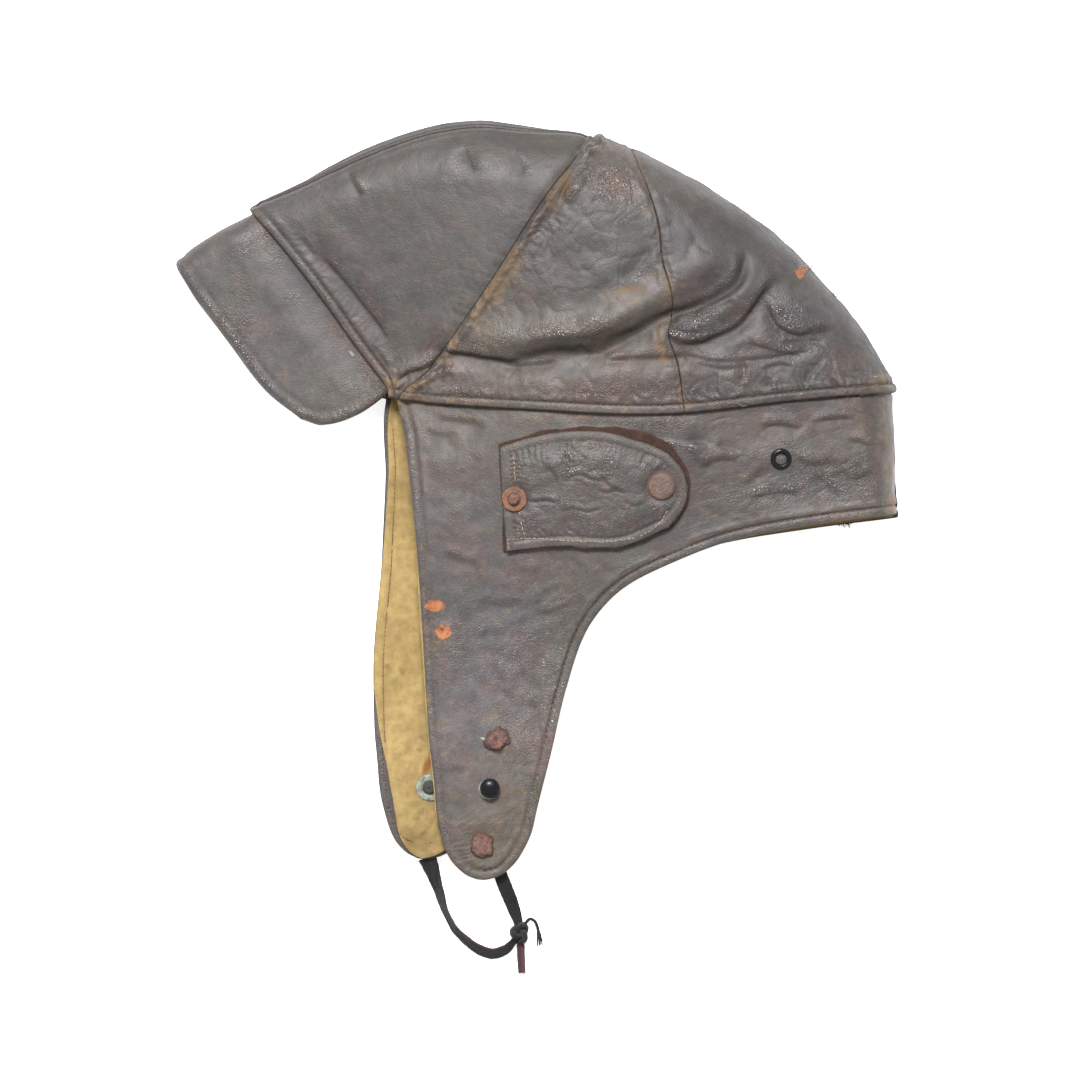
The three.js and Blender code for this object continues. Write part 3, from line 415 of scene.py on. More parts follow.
# Creases on the upper side, charted in the photograph's frame: the line,
# then depth and half width in mm, the height of the lip on its left, and how
# far the lip reaches, and how soon the far side comes back where it is steep.
CREASES = [
    # the sag across the crown
    ([(437, 351), (460, 355), (480, 358), (500, 361), (512, 363), (524, 363)], 1.1, 1.0, 1.0, 2.8),
    ([(500, 362), (522, 361), (544, 357), (562, 355), (582, 356), (602, 354), (618, 346), (634, 337), (652, 328), (672, 319), (690, 311)], 1.0, 2.6, 0.1, 4.0, 1.7),
    ([(516, 352), (532, 346), (550, 342), (570, 341), (590, 340), (606, 334), (624, 326)], 0.35, 1.6, 0.4, 2.6),
    ([(655, 324), (672, 317), (690, 311), (706, 304), (718, 298), (735, 285), (742, 269), (745, 250)], 1.5, 1.9, 0.5, 3.2, 1.9),
    ([(668, 338), (684, 346), (700, 346), (714, 340), (738, 327), (751, 310), (760, 297), (771, 283), (782, 274)], 0.85, 1.1, 0.9, 2.6),
    ([(668, 335), (682, 341), (697, 342), (706, 339)], 0.4, 0.8, 0.6, 1.8),
    ([(590, 360), (633, 360), (672, 359), (688, 357), (713, 363), (740, 362), (775, 358), (804, 352), (825, 350)], 0.35, 0.9, 0.35, 2.6),
    ([(500, 366), (520, 367), (545, 365), (560, 361)], 0.5, 0.8, 0.3, 2.2),
    ([(606, 363), (616, 362), (628, 361)], 0.4, 0.7, 0.2, 2.0),
    ([(448, 357), (444, 366), (438, 380)], 0.6, 0.9, 0.5, 2.2),
    ([(580, 345), (584, 352), (590, 357)], 0.4, 0.8, 0.3, 1.8),
    # the tucked corner at the top of the slanting seam
    ([(589, 133), (583, 143), (575, 154)], 0.8, 0.7, 0.7, 2.6),
    ([(605, 141), (596, 147), (583, 155)], 0.7, 0.7, 0.6, 2.2),
    ([(588, 158), (574, 172), (566, 186), (558, 204)], 0.5, 1.2, 0.5, 3.0),
    # short upright wrinkles over the hem at the back
    ([(716, 372), (714, 386), (716, 398)], 0.35, 0.8, 0.3, 1.8),
    ([(770, 378), (768, 390)], 0.35, 0.7, 0.3, 1.6),
    ([(690, 364), (720, 370), (752, 368)], 0.35, 1.1, 0.3, 2.4),
    ([(745, 345), (770, 352), (800, 358)], 0.3, 1.0, 0.3, 2.4),
    ([(672, 330), (690, 334), (706, 333)], 0.4, 0.9, 0.5, 2.4),
    ([(702, 312), (722, 306), (734, 300)], 0.35, 0.9, 0.4, 2.4),
    # dents of the band behind the ear cover
    ([(700, 470), (716, 462), (738, 462)], 0.35, 1.4, 0.35, 3.2),
    ([(790, 458), (812, 466), (836, 462)], 0.35, 1.4, 0.35, 3.2),
    ([(846, 440), (866, 446), (884, 442)], 0.3, 1.2, 0.3, 2.8),
    ([(750, 500), (776, 494), (800, 497)], 0.3, 1.2, 0.35, 2.8),
    ([(640, 580), (622, 590), (606, 606)], 0.25, 1.3, 0.25, 2.8),
    ([(478, 600), (500, 606), (526, 604)], 0.25, 1.4, 0.3, 3.0),
    ([(486, 660), (500, 676), (504, 700)], 0.25, 1.4, 0.3, 3.0),
    ([(545, 650), (536, 672), (536, 694)], 0.25, 1.2, 0.25, 2.6),
    ([(584, 349), (603, 343), (630, 338), (660, 334)], 0.6, 2.2, 0.2, 3.0),
    # round the bulge at the back
    ([(765, 300), (766, 313), (776, 329), (795, 337), (817, 332), (834, 330)], 0.8, 1.0, 0.8, 4.0),
    ([(776, 345), (800, 343), (824, 341)], 0.4, 1.0, 0.3, 2.5),
    ([(741, 361), (743, 372), (740, 386)], 0.5, 0.8, 0.3, 2.0),
    ([(823, 358), (812, 371), (803, 385), (797, 398)], 0.5, 0.9, 0.3, 2.0),
    ([(829, 378), (836, 388), (842, 398)], 0.7, 0.7, 0.3, 1.6),
    ([(760, 372), (775, 366), (790, 368)], 0.35, 0.9, 0.2, 2.0),
    # the middle panel
    ([(647, 200), (638, 207), (623, 219), (612, 226)], 0.4, 0.8, 0.3, 2.0),
    ([(646, 200), (657, 201), (669, 205)], 0.35, 0.7, 0.2, 2.0),
    ([(591, 160), (577, 178), (566, 190), (560, 202)], 0.5, 1.2, 0.5, 3.0),
    ([(655, 252), (644, 262), (634, 274), (618, 282)], 0.35, 1.6, 0.3, 3.0),
    ([(598, 178), (612, 174), (627, 176), (640, 173)], 0.25, 0.8, 0.15, 1.5),
    ([(594, 190), (610, 186), (626, 190), (638, 186)], 0.25, 0.8, 0.15, 1.5),
    ([(588, 205), (606, 199), (622, 202)], 0.25, 0.8, 0.15, 1.5),
    # the front panel
    ([(317, 254), (330, 266), (349, 288), (359, 301), (378, 325), (391, 346)], 0.5, 0.9, 0.35, 3.0),
    ([(300, 236), (306, 244), (314, 256)], 0.3, 0.9, 0.2, 2.0),
    ([(349, 172), (354, 184), (362, 198)], 0.4, 0.9, 0.3, 2.5),
    ([(462, 148), (468, 160), (475, 176)], 0.3, 1.4, 0.3, 3.0),
    ([(512, 152), (520, 166), (523, 180)], 0.25, 1.3, 0.25, 3.0),
    ([(372, 345), (380, 356), (390, 370)], 0.35, 1.0, 0.25, 2.0),
    # puckers at the temple
    ([(401, 383), (412, 374), (427, 369), (438, 361), (444, 352)], 0.9, 1.0, 0.7, 2.6),
    ([(424, 379), (436, 372), (444, 364)], 0.6, 0.9, 0.4, 2.0),
    ([(420, 394), (431, 384), (441, 378), (455, 374)], 0.5, 0.9, 0.4, 2.0),
    # the kink where the top seams meet
    ([(592, 139), (600, 146), (607, 147)], 0.6, 0.8, 0.4, 1.6),
    # the neck band
    ([(718, 446), (700, 443), (682, 441), (662, 437), (636, 433), (614, 429), (588, 428), (564, 426)], 0.8, 1.0, 0.6, 3.0),
    ([(740, 452), (728, 449), (716, 446)], 0.4, 1.1, 0.3, 2.0),
    ([(440, 420), (456, 422), (470, 424), (486, 429)], 0.35, 1.1, 0.3, 2.4),
    ([(428, 434), (446, 436), (462, 434)], 0.25, 1.1, 0.2, 2.4),
    ([(760, 430), (778, 427), (800, 431)], 0.4, 1.3, 0.4, 3.0),
    ([(810, 424), (830, 421), (852, 419)], 0.3, 1.0, 0.3, 2.4),
    ([(742, 487), (757, 477), (764, 466)], 0.3, 1.4, 0.3, 3.0),
    ([(838, 470), (848, 480), (860, 478), (872, 468)], 0.35, 1.3, 0.3, 2.4),
    ([(812, 474), (826, 487), (842, 500)], 0.3, 1.3, 0.3, 2.4),
    ([(444, 553), (458, 560), (478, 566)], 0.3, 1.4, 0.25, 3.0),
    ([(504, 578), (520, 572), (541, 574)], 0.25, 1.4, 0.2, 3.0),
    ([(540, 617), (556, 611), (576, 603)], 0.3, 1.2, 0.25, 2.6),
    ([(470, 640), (492, 634), (510, 637)], 0.22, 1.4, 0.2, 3.0),
    ([(505, 700), (516, 686), (520, 668)], 0.25, 1.4, 0.2, 3.0),
    ([(448, 776), (456, 770), (466, 774)], 0.25, 1.0, 0.2, 2.0),
    ([(530, 700), (538, 716), (540, 736)], 0.25, 1.2, 0.2, 2.4),
]


def crease_relief(x, y):
    """Relief of the charted creases over the plan, the shade painted into each, and
    how much its roll has been polished. A crease is a soft roll on its left that
    drops steeply into the line and comes back slowly on its right."""
    out, dirt, shine = np.zeros_like(x), np.zeros_like(x), np.zeros_like(x)
    for line, depth, width, lip, reach, *rise in CREASES:
        painted_crease_shade = min(0.75, 0.10 + 0.34 * depth)
        depth, width, lip, reach = 1.35 * depth, 1.35 * width, 1.6 * lip, 1.25 * reach
        raw = px(*line)
        pts = Curve(raw).at(np.linspace(0, 1, 8 * len(raw)))
        lo, hi = pts.min(0) - 16, pts.max(0) + 16
        m = (x > lo[0]) & (x < hi[0]) & (y > lo[1]) & (y < hi[1])
        if not m.any():
            continue
        d, t, side, _, _ = to_polyline(x[m], y[m], pts)
        fade = smooth(t, 0.0, 0.18) * (1 - smooth(t, 0.82, 1.0))
        left = side > 0
        roll = lip * (1 - np.exp(-d / (0.9 * width))) * np.exp(-((d / (1.25 * reach)) ** 2))
        right = rise[0] if rise else 1.5 * width + 0.22 * reach
        cut = np.where(left, np.exp(-((d / (0.8 * width)) ** 2)), np.exp(-((d / right) ** 1.6)))
        out[m] += fade * (np.where(left, roll, 0) - depth * cut)
        # painted shade along the crease: narrow on the roll's side, wide below it where the roll overhangs
        dark = np.where(left, np.exp(-((d / ((1.1 if rise else 0.45) * width)) ** 2)), np.exp(-((d / (0.8 * right)) ** 1.2)))
        dirt[m] = np.maximum(dirt[m], fade * dark * painted_crease_shade)
        shine[m] = np.maximum(shine[m], np.where(left, fade * min(1, lip) * np.exp(-(((d - 0.7 * reach) / (0.5 * reach)) ** 2)), 0))
    return out, dirt, shine


def hem_profile(d, r=0.95):
    """A turned and stitched edge, by the distance from it: rounded over, a
    plump rim, the dent of the stitches, and the puff behind them."""
    edge = np.where(d < r, -r + np.sqrt(np.maximum(0, r * r - (r - np.minimum(d, r)) ** 2)), 0)
    return (
        edge
        + 0.15 * np.exp(-(((d - 1.9) / 1.1) ** 2))
        - 0.50 * np.exp(-(((d - HEM_STITCH) / 0.5) ** 2))
        + 0.28 * np.exp(-(((d - 5.6) / 1.4) ** 2))
    )


def seam_profile(d, r=1.7):
    edge = np.where(d < r, -r + np.sqrt(np.maximum(0, r * r - (r - np.minimum(d, r)) ** 2)), 0)
    return edge + 0.45 * np.exp(-(((d - 3.0) / 1.6) ** 2))


def puckers(d, t, length, p, size=4.2, reach=5.0, start=4.0):
    """Short wrinkles square to a stitched seam, behind its stitches."""
    wob = perlin(p, 9.0) * 2.2
    wave = np.cos(2 * np.pi * (t * length / size + wob))
    return wave * smooth(d, start - 0.8, start + 0.6) * np.exp(-np.maximum(0, d - start) / reach)


def common_relief(x, y, side, p):
    """Lumps and wrinkles that all the leather has, the shade painted into its creases, pleats and rivet hole, and its
    shine.
    """
    up = np.broadcast_to(side, x.shape) > 0
    q = p + np.where(up[..., None], 0.0, 71.0)
    lumps = 0.50 * fractal(q, 24, 2) + 0.26 * fractal(q + 11, 9.5, 2)
    lines = -0.15 * creased(q + 5, 11.0, 0.07) - 0.09 * creased(q + 9, 5.5, 0.09)
    # the front of the crown and the peak are smooth
    calm = 1 - 0.55 * smooth(-52.7 + 0.708 * (y - 41) - x, 1, 9) * smooth(y, 38, 46)
    out = (lumps + lines) * calm
    dirt = np.zeros_like(x)
    shine = 0.26 * smooth(lumps, 0.05, 0.4) * calm
    if up.any():
        c, dd, ss = crease_relief(np.where(up, x, 1e4), y)
        out = out + c
        dirt = dd
        shine = np.maximum(shine, ss)
        # fine pleats where the leather is drawn together, with painted shade in their hollows
        for cx, cy, rx, ry, angle, size, depth in PLEATS:
            ox, oy = px((cx, cy))[0]
            c0, s0 = math.cos(math.radians(angle)), math.sin(math.radians(angle))
            u = (x - ox) * c0 + (y - oy) * s0
            v = -(x - ox) * s0 + (y - oy) * c0
            m = np.exp(-((u / (rx * PIXEL)) ** 2) - (v / (ry * PIXEL)) ** 2) * up
            n = perlin(np.stack([u / 4.0, v, 0 * v], -1) + cx, size)
            out = out + depth * m * n
            dirt = np.maximum(dirt, 0.5 * m * smooth(-n, 0.15, 0.5) * depth / 0.4)
    # the hole where a rivet was, with painted shade in it
    hx, hy = px((445, 630))[0]
    r = np.hypot(x - hx, y - hy) * (1 + 0.22 * np.cos(3 * np.arctan2(y - hy, x - hx) + 1.5))
    out = out + up * (-1.3 * np.exp(-((r / 1.15) ** 4)) + 0.45 * np.exp(-(((r - 2.3) / 0.8) ** 2)))
    dirt = np.maximum(dirt, up * np.exp(-((r / 1.0) ** 4)))
    return out, dirt, shine


# px x, px y, reach along and across the pleats in px, direction, pleat width and depth in mm
PLEATS = [
    (612, 182, 26, 30, 12, 1.5, 0.34),
    (560, 215, 10, 34, -32, 1.6, 0.30),
    (520, 262, 14, 40, -30, 1.7, 0.30),
    (478, 310, 14, 28, -30, 1.8, 0.35),
    (598, 140, 14, 8, 40, 1.6, 0.4),
    (694, 326, 26, 12, 10, 1.7, 0.35),
    (800, 315, 16, 16, -15, 1.8, 0.35),
    (655, 235, 8, 20, 12, 1.8, 0.25),
    (425, 382, 20, 12, 62, 1.8, 0.45),
    (830, 480, 40, 14, 35, 2.0, 0.35),
    (760, 492, 30, 10, 30, 2.0, 0.30),
    (480, 500, 14, 30, 80, 2.0, 0.25),
    (540, 600, 40, 24, 25, 2.2, 0.25),
    (470, 690, 30, 50, 70, 2.2, 0.2),
    (590, 376, 100, 12, 85, 2.2, 0.22),
]


# ------------------------------------------------------------------ charted wear
# px x, px y, radius x, radius y, strength
TAN = [
    (563, 187, 10, 16, 0.7),
    (550, 206, 9, 14, 0.6),
    (532, 238, 8, 14, 0.35),
    (516, 258, 9, 14, 0.6),
    (499, 279, 11, 13, 0.75),
    (508, 270, 14, 12, 0.5),
    (492, 297, 11, 12, 0.65),
    (476, 316, 9, 12, 0.5),
    (488, 334, 14, 12, 0.3),
    (456, 342, 7, 9, 0.5),
    (448, 360, 7, 9, 0.5),
    (408, 386, 12, 6, 0.5),
    (395, 392, 8, 6, 0.6),
    (629, 291, 11, 6, 0.7),
    (648, 285, 14, 18, 0.3),
    (665, 335, 5, 22, 0.45),
    (664, 360, 6, 14, 0.4),
    (597, 352, 14, 12, 0.3),
    (606, 300, 22, 8, 0.3),
    (560, 325, 40, 8, 0.25),
    (618, 190, 20, 22, 0.3),
    (600, 150, 12, 9, 0.4),
    (668, 282, 5, 24, 0.6),
    (664, 250, 4, 12, 0.3),
    (662, 232, 10, 14, 0.15),
    (660, 175, 8, 12, 0.18),
    (520, 385, 90, 10, 0.16),
    (402, 396, 10, 8, 0.6),
    (420, 402, 16, 5, 0.4),
    (454, 407, 10, 3, 0.4),
    (868, 384, 22, 5, 0.30),
    (880, 378, 7, 5, 0.5),
    (887, 440, 6, 36, 0.30),
    (886, 482, 6, 24, 0.30),
    (891, 505, 7, 9, 0.85),
    (860, 517, 26, 3, 0.4),
    (856, 440, 30, 40, 0.18),
    (255, 218, 8, 10, 0.4),
    (345, 330, 4, 20, 0.3),
    (390, 380, 9, 14, 0.4),
    (420, 384, 14, 10, 0.3),
    (475, 400, 60, 4, 0.3),
    (600, 408, 90, 4, 0.2),
    (690, 404, 16, 4, 0.35),
    (680, 385, 6, 16, 0.3),
    (444, 636, 16, 24, 0.35),
    (500, 745, 14, 18, 0.3),
    (484, 846, 14, 16, 0.3),
    (430, 700, 4, 24, 0.3),
    (510, 505, 10, 14, 0.3),
]
ORANGE = [
    (558, 177, 4.5, 4, 0.85),
    (566, 168, 3, 5, 0.45),
    (797, 275, 5, 6, 1.1),
    (803, 271, 3, 4, 0.6),
    (797, 259, 2, 2, 0.6),
    (828, 296, 2, 1.6, 0.8),
    (836, 306, 3, 1.5, 0.7),
    (880, 380, 3, 2, 0.5),
    (892, 506, 4, 4, 0.75),
    (438, 606, 10, 6, 1.2),
    (446, 631, 9, 9.5, 0.9),
    (428, 690, 2.4, 6, 0.8),
    (436, 622, 3, 3, 0.5),
    (566, 454, 4, 2, 0.5),
    (572, 463, 3, 2.5, 0.5),
    (846, 520, 6, 3, 0.5),
    (458, 407, 2, 2, 0.6),
    (416, 398, 3, 2, 0.4),
    (500, 758, 7, 5, 0.5),
    (477, 860, 5, 4, 0.3),
]
PALE = [(351, 354, 6, 2.2, 1.0, 45), (299, 235, 1.2, 1.2, 0.8, 0), (332, 217, 1.0, 1.0, 0.9, 0), (387, 190, 1.4, 1.0, 0.7, 0), (796, 358, 1.0, 5, 0.9, 10), (792, 367, 0.8, 4, 0.7, -20), (262, 228, 5, 2, 0.5, 45), (474, 862, 6, 3, 0.4, 10), (484, 739, 6, 1.8, 0.9, 20), (480, 744, 3, 1.6, 0.7, 0), (492, 735, 2.5, 2, 0.8, 0), (874, 377, 3, 1.2, 0.7, 10), (882, 375, 2, 1.4, 0.7, 0), (791, 362, 0.8, 6, 0.8, 25)]
RED = [
    (620, 190, 26, 24, 0.5),
    (560, 300, 50, 30, 0.35),
    (600, 385, 110, 20, 0.55),
    (470, 380, 50, 18, 0.45),
    (430, 345, 20, 16, 0.3),
    (330, 300, 10, 50, 0.3),
    (365, 345, 12, 40, 0.4),
    (700, 200, 30, 30, 0.2),
    (800, 430, 90, 26, 0.45),
    (850, 480, 40, 30, 0.25),
    (730, 470, 40, 30, 0.3),
    (340, 400, 40, 14, 0.3),
    (250, 270, 16, 40, 0.2),
    (470, 470, 30, 30, 0.2),
    (560, 560, 60, 30, 0.25),
    (520, 700, 26, 60, 0.25),
    (470, 560, 30, 20, 0.2),
    (350, 170, 90, 14, 0.2),
]


GLOSS = [
    (612, 185, 22, 26, 0.9),
    (700, 322, 24, 12, 0.7),
    (712, 315, 16, 6, 0.65),
    (690, 337, 20, 7, 0.65),
    (505, 342, 12, 7, 0.8),
    (548, 333, 34, 7, 0.9),
    (468, 392, 18, 6, 1.0),
    (595, 393, 16, 5, 0.8),
    (556, 720, 10, 60, 0.8),
    (536, 800, 12, 30, 0.8),
    (790, 312, 20, 16, 0.7),
    (800, 350, 40, 12, 0.5),
    (640, 392, 100, 10, 0.5),
    (440, 395, 30, 6, 0.8),
    (468, 345, 22, 7, 1.1),
    (600, 322, 34, 8, 0.5),
    (478, 165, 30, 14, 0.2),
    (840, 478, 46, 26, 0.9),
    (760, 495, 50, 14, 0.6),
    (640, 425, 60, 6, 0.7),
    (540, 640, 40, 60, 0.4),
    (520, 720, 22, 50, 0.6),
    (470, 660, 30, 60, 0.4),
    (240, 300, 14, 40, 0.4),
    (350, 385, 40, 12, 0.4),
    (590, 490, 70, 40, 0.9),
]
# seam, how far its wear reaches in mm, how strong
EDGE_WEAR = [("slant", 3.6, 0.54), ("upright", 1.4, 0.4), ("hem", 1.9, 0.26), ("brow", 1.8, 0.2), ("front", 2.6, 0.3), ("neck", 2.6, 0.14)]


# how much lighter or darker, with painted light in it: highlights on rolls and rims, shade in the sag folds, and light
# that falls unevenly; and how much warmer or cooler
TONE_AND_PAINTED_LIGHT = [
    (470, 150, 90, 40, -0.36),
    (430, 168, 60, 22, -0.14),
    (664, 238, 14, 26, -0.30),
    (612, 272, 44, 20, -0.16),
    (760, 392, 46, 22, -0.18),
    (684, 380, 30, 20, -0.26),
    (645, 528, 34, 22, -0.24),
    (578, 349, 62, 8, -0.42, -8),
    (640, 334, 30, 6, -0.35, -24),
    (470, 342, 26, 8, 0.25),
    (550, 331, 40, 7, 0.25, -10),
    (400, 205, 60, 50, -0.16),
    (540, 190, 30, 40, -0.32),
    (585, 255, 62, 50, -0.50),
    (725, 235, 60, 50, -0.32),
    (725, 290, 44, 24, -0.18),
    (610, 180, 30, 24, 0.20),
    (240, 280, 60, 70, 0.26),
    (300, 240, 40, 50, 0.14),
    (330, 370, 50, 34, 0.14),
    (636, 304, 30, 12, 0.40),
    (508, 340, 26, 8, 0.25),
    (850, 345, 30, 24, -0.16),
    (550, 418, 170, 12, 0.30),
    (612, 417, 64, 10, 0.30),
    (600, 456, 72, 26, -0.30),
    (706, 458, 26, 26, -0.28),
    (480, 540, 70, 60, 0.18),
    (570, 560, 50, 40, 0.15),
    (500, 690, 70, 100, 0.42),
    (562, 690, 16, 60, 0.30),
    (450, 730, 14, 40, 0.22),
    (490, 845, 40, 36, -0.06),
    (820, 505, 50, 22, 0.38),
    (800, 440, 60, 34, -0.22),
    (800, 350, 30, 26, -0.22),
    (455, 440, 34, 30, -0.15),
    (600, 252, 34, 30, -0.07),
]
WARM = [
    (500, 145, 120, 44, 0.9),
    (640, 352, 60, 24, 0.7),
    (600, 455, 90, 40, 0.7),
    (560, 215, 60, 50, 0.5),
    (400, 180, 80, 40, 0.4),
    (440, 430, 60, 40, 1.1),
    (500, 830, 60, 55, 1.3),
    (500, 330, 50, 22, 0.8),
    (630, 310, 60, 40, 0.8),
    (890, 400, 24, 60, 0.6),
    (390, 380, 30, 20, 0.8),
    (270, 300, 60, 70, -0.5),
    (400, 220, 70, 80, -0.5),
    (500, 640, 60, 90, -0.75),
    (810, 490, 40, 20, -1.0),
    (800, 310, 40, 20, -0.6),
]


def charted(x, y, table):
    out = np.zeros_like(x)
    for row in table:
        cx, cy = px((row[0], row[1]))[0]
        a = math.radians(row[5]) if len(row) > 5 else 0.0
        dx, dy = x - cx, y - cy
        u = (dx * math.cos(a) - dy * math.sin(a)) / (row[2] * PIXEL)
        v = (dx * math.sin(a) + dy * math.cos(a)) / (row[3] * PIXEL)
        out = out + row[4] * np.exp(-(u * u + v * v))
    return out


def wear(x, y, side, p):
    up = np.where(np.broadcast_to(side, x.shape) > 0, 1.0, 0.0)
    n = fractal(p + 50 + 40 * up[..., None], 14, 3)
    lower = 0.3 * smooth(n, 0.25, 0.7) * (1 - up)
    edge, spots = np.zeros_like(x), fractal(p + 90, 5.0, 3)
    for name, size, amount in EDGE_WEAR:
        d = to_polyline(x, y, SEAMS[name])[0]
        edge = np.maximum(edge, amount * np.exp(-((d / size) ** 2)))
    edge = edge * smooth(spots, -0.25, 0.45)
    return {
        "gloss": charted(x, y, GLOSS) * up,
        # painted light: darker towards the top of the crown and lighter down the flaps, on top of the charted tone
        "tone_and_painted_light": np.exp((charted(x, y, TONE_AND_PAINTED_LIGHT) - 0.28 * smooth(y, 45, 105) + 0.22 * smooth(-y, 45, 95)) * up) - 1,
        "warm": np.clip(charted(x, y, WARM) * up, -1.3, 1.3),
        "tan": charted(x, y, TAN) * up + lower + edge * up,
        "orange": charted(x, y, ORANGE) * up,
        "pale": charted(x, y, PALE) * up,
        "red": np.clip(charted(x, y, RED) * up + 0.4 * smooth(n, 0.1, 0.6), 0, 1),
    }


# ------------------------------------------------------------------ meshes
def new_object(name, verts, faces, attrs=None, mats=(), face_mats=None, angle=50):
    """verts in mm in the tables' frame."""
    mesh = bpy.data.meshes.new(name)
    v = (np.asarray(verts, float).reshape(-1, 3) - ORIGIN) / 1000.0
    faces = np.asarray(faces)
    if faces.ndim == 2:
        n = faces.shape[1]
        mesh.vertices.add(len(v))
        mesh.vertices.foreach_set("co", v.ravel())
        mesh.loops.add(faces.size)
        mesh.loops.foreach_set("vertex_index", faces.ravel().astype(np.int32))
        mesh.polygons.add(len(faces))
        mesh.polygons.foreach_set("loop_start", np.arange(0, faces.size, n, dtype=np.int32))
        mesh.update(calc_edges=True)
    else:
        mesh.from_pydata(v.tolist(), [], [list(map(int, f)) for f in faces])
    for m in mats:
        mesh.materials.append(m)
    if face_mats is not None:
        mesh.polygons.foreach_set("material_index", np.asarray(face_mats, dtype=np.int32))
    for key, val in (attrs or {}).items():
        a = mesh.attributes.new(key, "FLOAT", "POINT")
        a.data.foreach_set("value", np.asarray(val, dtype=np.float32).ravel())
    mesh.validate()
    mesh.shade_smooth()
    if angle:
        mesh.set_sharp_from_angle(angle=math.radians(angle))
    obj = bpy.data.objects.new(name, mesh)
    bpy.context.collection.objects.link(obj)
    return obj


def place(obj, slot, *nodes):
    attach(obj, "root")
    if nodes:
        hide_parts(*nodes)
    return obj


def grid_normals(P, side):
    du = np.gradient(P, axis=0)
    ds = np.gradient(P, axis=1)
    n = np.cross(du, ds)
    n /= np.maximum(1e-9, np.linalg.norm(n, axis=-1))[..., None]
    s = np.sign((n[..., 2] * np.broadcast_to(side, n.shape[:2])).sum())
    return n * s


def wall_object(name, X, Y, side, outer, inner, attrs, mats, edges=None):
    """A closed wall over a grid of plan points. side is an array of 1 and -1,
    outer and inner are offsets along the skin's outward normal."""
    P = skin(X, Y, side)
    N = grid_normals(P, side)
    tip = Y < -120
    if tip.any():
        N[tip] = skin_frame(X[tip], Y[tip], np.broadcast_to(side, X.shape)[tip])[1]
    out = P + N * np.asarray(outer)[..., None]
    inn = P + N * np.asarray(inner)[..., None]
    # the lower side rests on the floor and is pressed flat there
    out[..., 2] = np.maximum(out[..., 2], 0.04)
    inn[..., 2] = np.maximum(inn[..., 2], 0.3)
    n, m = X.shape
    verts = np.concatenate([out.reshape(-1, 3), inn.reshape(-1, 3)])
    i, j = np.meshgrid(np.arange(n - 1), np.arange(m - 1), indexing="ij")
    a = (i * m + j).ravel()
    b, c, d = a + 1, a + m + 1, a + m
    k = n * m
    top = np.stack([a, b, c, d], 1)
    bottom = np.stack([a, d, c, b], 1) + k
    rims = []
    e = np.arange(m - 1)
    for row, flip in ((0, False), (n - 1, True)):
        q = np.stack([row * m + e, row * m + e + k, row * m + e + 1 + k, row * m + e + 1], 1)
        rims.append(q[:, ::-1] if flip else q)
    e = np.arange(n - 1)
    for col, flip in ((0, True), (m - 1, False)):
        q = np.stack([e * m + col, e * m + col + k, (e + 1) * m + col + k, (e + 1) * m + col], 1)
        rims.append(q[:, ::-1] if flip else q)
    rims = np.concatenate(rims)
    faces = np.concatenate([top, bottom, rims])
    # faces point out: test the first faces against the outward normal
    v = verts[top[len(top) // 2]]
    w = np.cross(v[1] - v[0], v[2] - v[0])
    if (w * N.reshape(-1, 3)[a[len(a) // 2]]).sum() < 0:
        faces = faces[:, ::-1]
    fm = np.zeros(len(faces), int)
    if len(mats) > 1:
        fm[len(top) : len(top) + len(bottom)] = 1
    full = {key: np.concatenate([np.broadcast_to(val, X.shape).ravel()] * 2) for key, val in attrs.items()}
    full["inside"] = np.concatenate([np.zeros(k), np.ones(k)])
    return new_object(name, verts, faces, full, mats, fm)


# A patch of the plan between four edges.
def coons(top, bottom, left, right, inset=0.07):
    def mix(u, v):
        u, v = np.asarray(u, float)[..., None], np.asarray(v, float)[..., None]
        t, b = top(u[..., 0])[..., :2], bottom(u[..., 0])[..., :2]
        l, r = left(v[..., 0])[..., :2], right(v[..., 0])[..., :2]
        p00, p10, p01, p11 = (f(np.array(k))[:2] for f, k in ((top, 0.0), (top, 1.0), (bottom, 0.0), (bottom, 1.0)))
        return (
            (1 - v) * t + v * b + (1 - u) * l + u * r
            - ((1 - u) * (1 - v) * p00 + u * (1 - v) * p10 + (1 - u) * v * p01 + u * v * p11)
        )

    def f(u, v):
        if not inset:
            return mix(u, v)
        a, b = mix(np.zeros_like(v), v), mix(np.ones_like(v), v)
        d = np.minimum(0.3, inset / np.maximum(0.5, np.hypot(*(b - a).T).T))
        return mix(d + u * (1 - 2 * d), v)

    return f


CLUSTER = np.array([0, 0.18, 0.45, 0.8, 1.2, 1.7, 2.3, 3.0])


def spread(count, length, both=True, cluster=CLUSTER):
    """count numbers from 0 to 1 for each length, close together near the ends."""
    length = np.asarray(length, float)[..., None]
    k = np.minimum(1.0, length / (cluster[-1] * 4))
    head = cluster * k / length
    tail = 1 - head[..., ::-1] if both else np.ones(length.shape[:-1] + (1,))
    n = count - len(cluster) - tail.shape[-1]
    f = np.linspace(0, 1, n + 2)[1:-1]
    mid = head[..., -1:] + f * (tail[..., :1] - head[..., -1:])
    return np.concatenate([head, mid, tail], -1)


# ------------------------------------------------------------------ materials
def nodes_of(name):
    mat = bpy.data.materials.new(name)
    mat.use_nodes = True
    nt = mat.node_tree
    nt.nodes.clear()
    out = nt.nodes.new("ShaderNodeOutputMaterial")
    bsdf = nt.nodes.new("ShaderNodeBsdfPrincipled")
    nt.links.new(bsdf.outputs[0], out.inputs[0])
    return mat, nt, bsdf


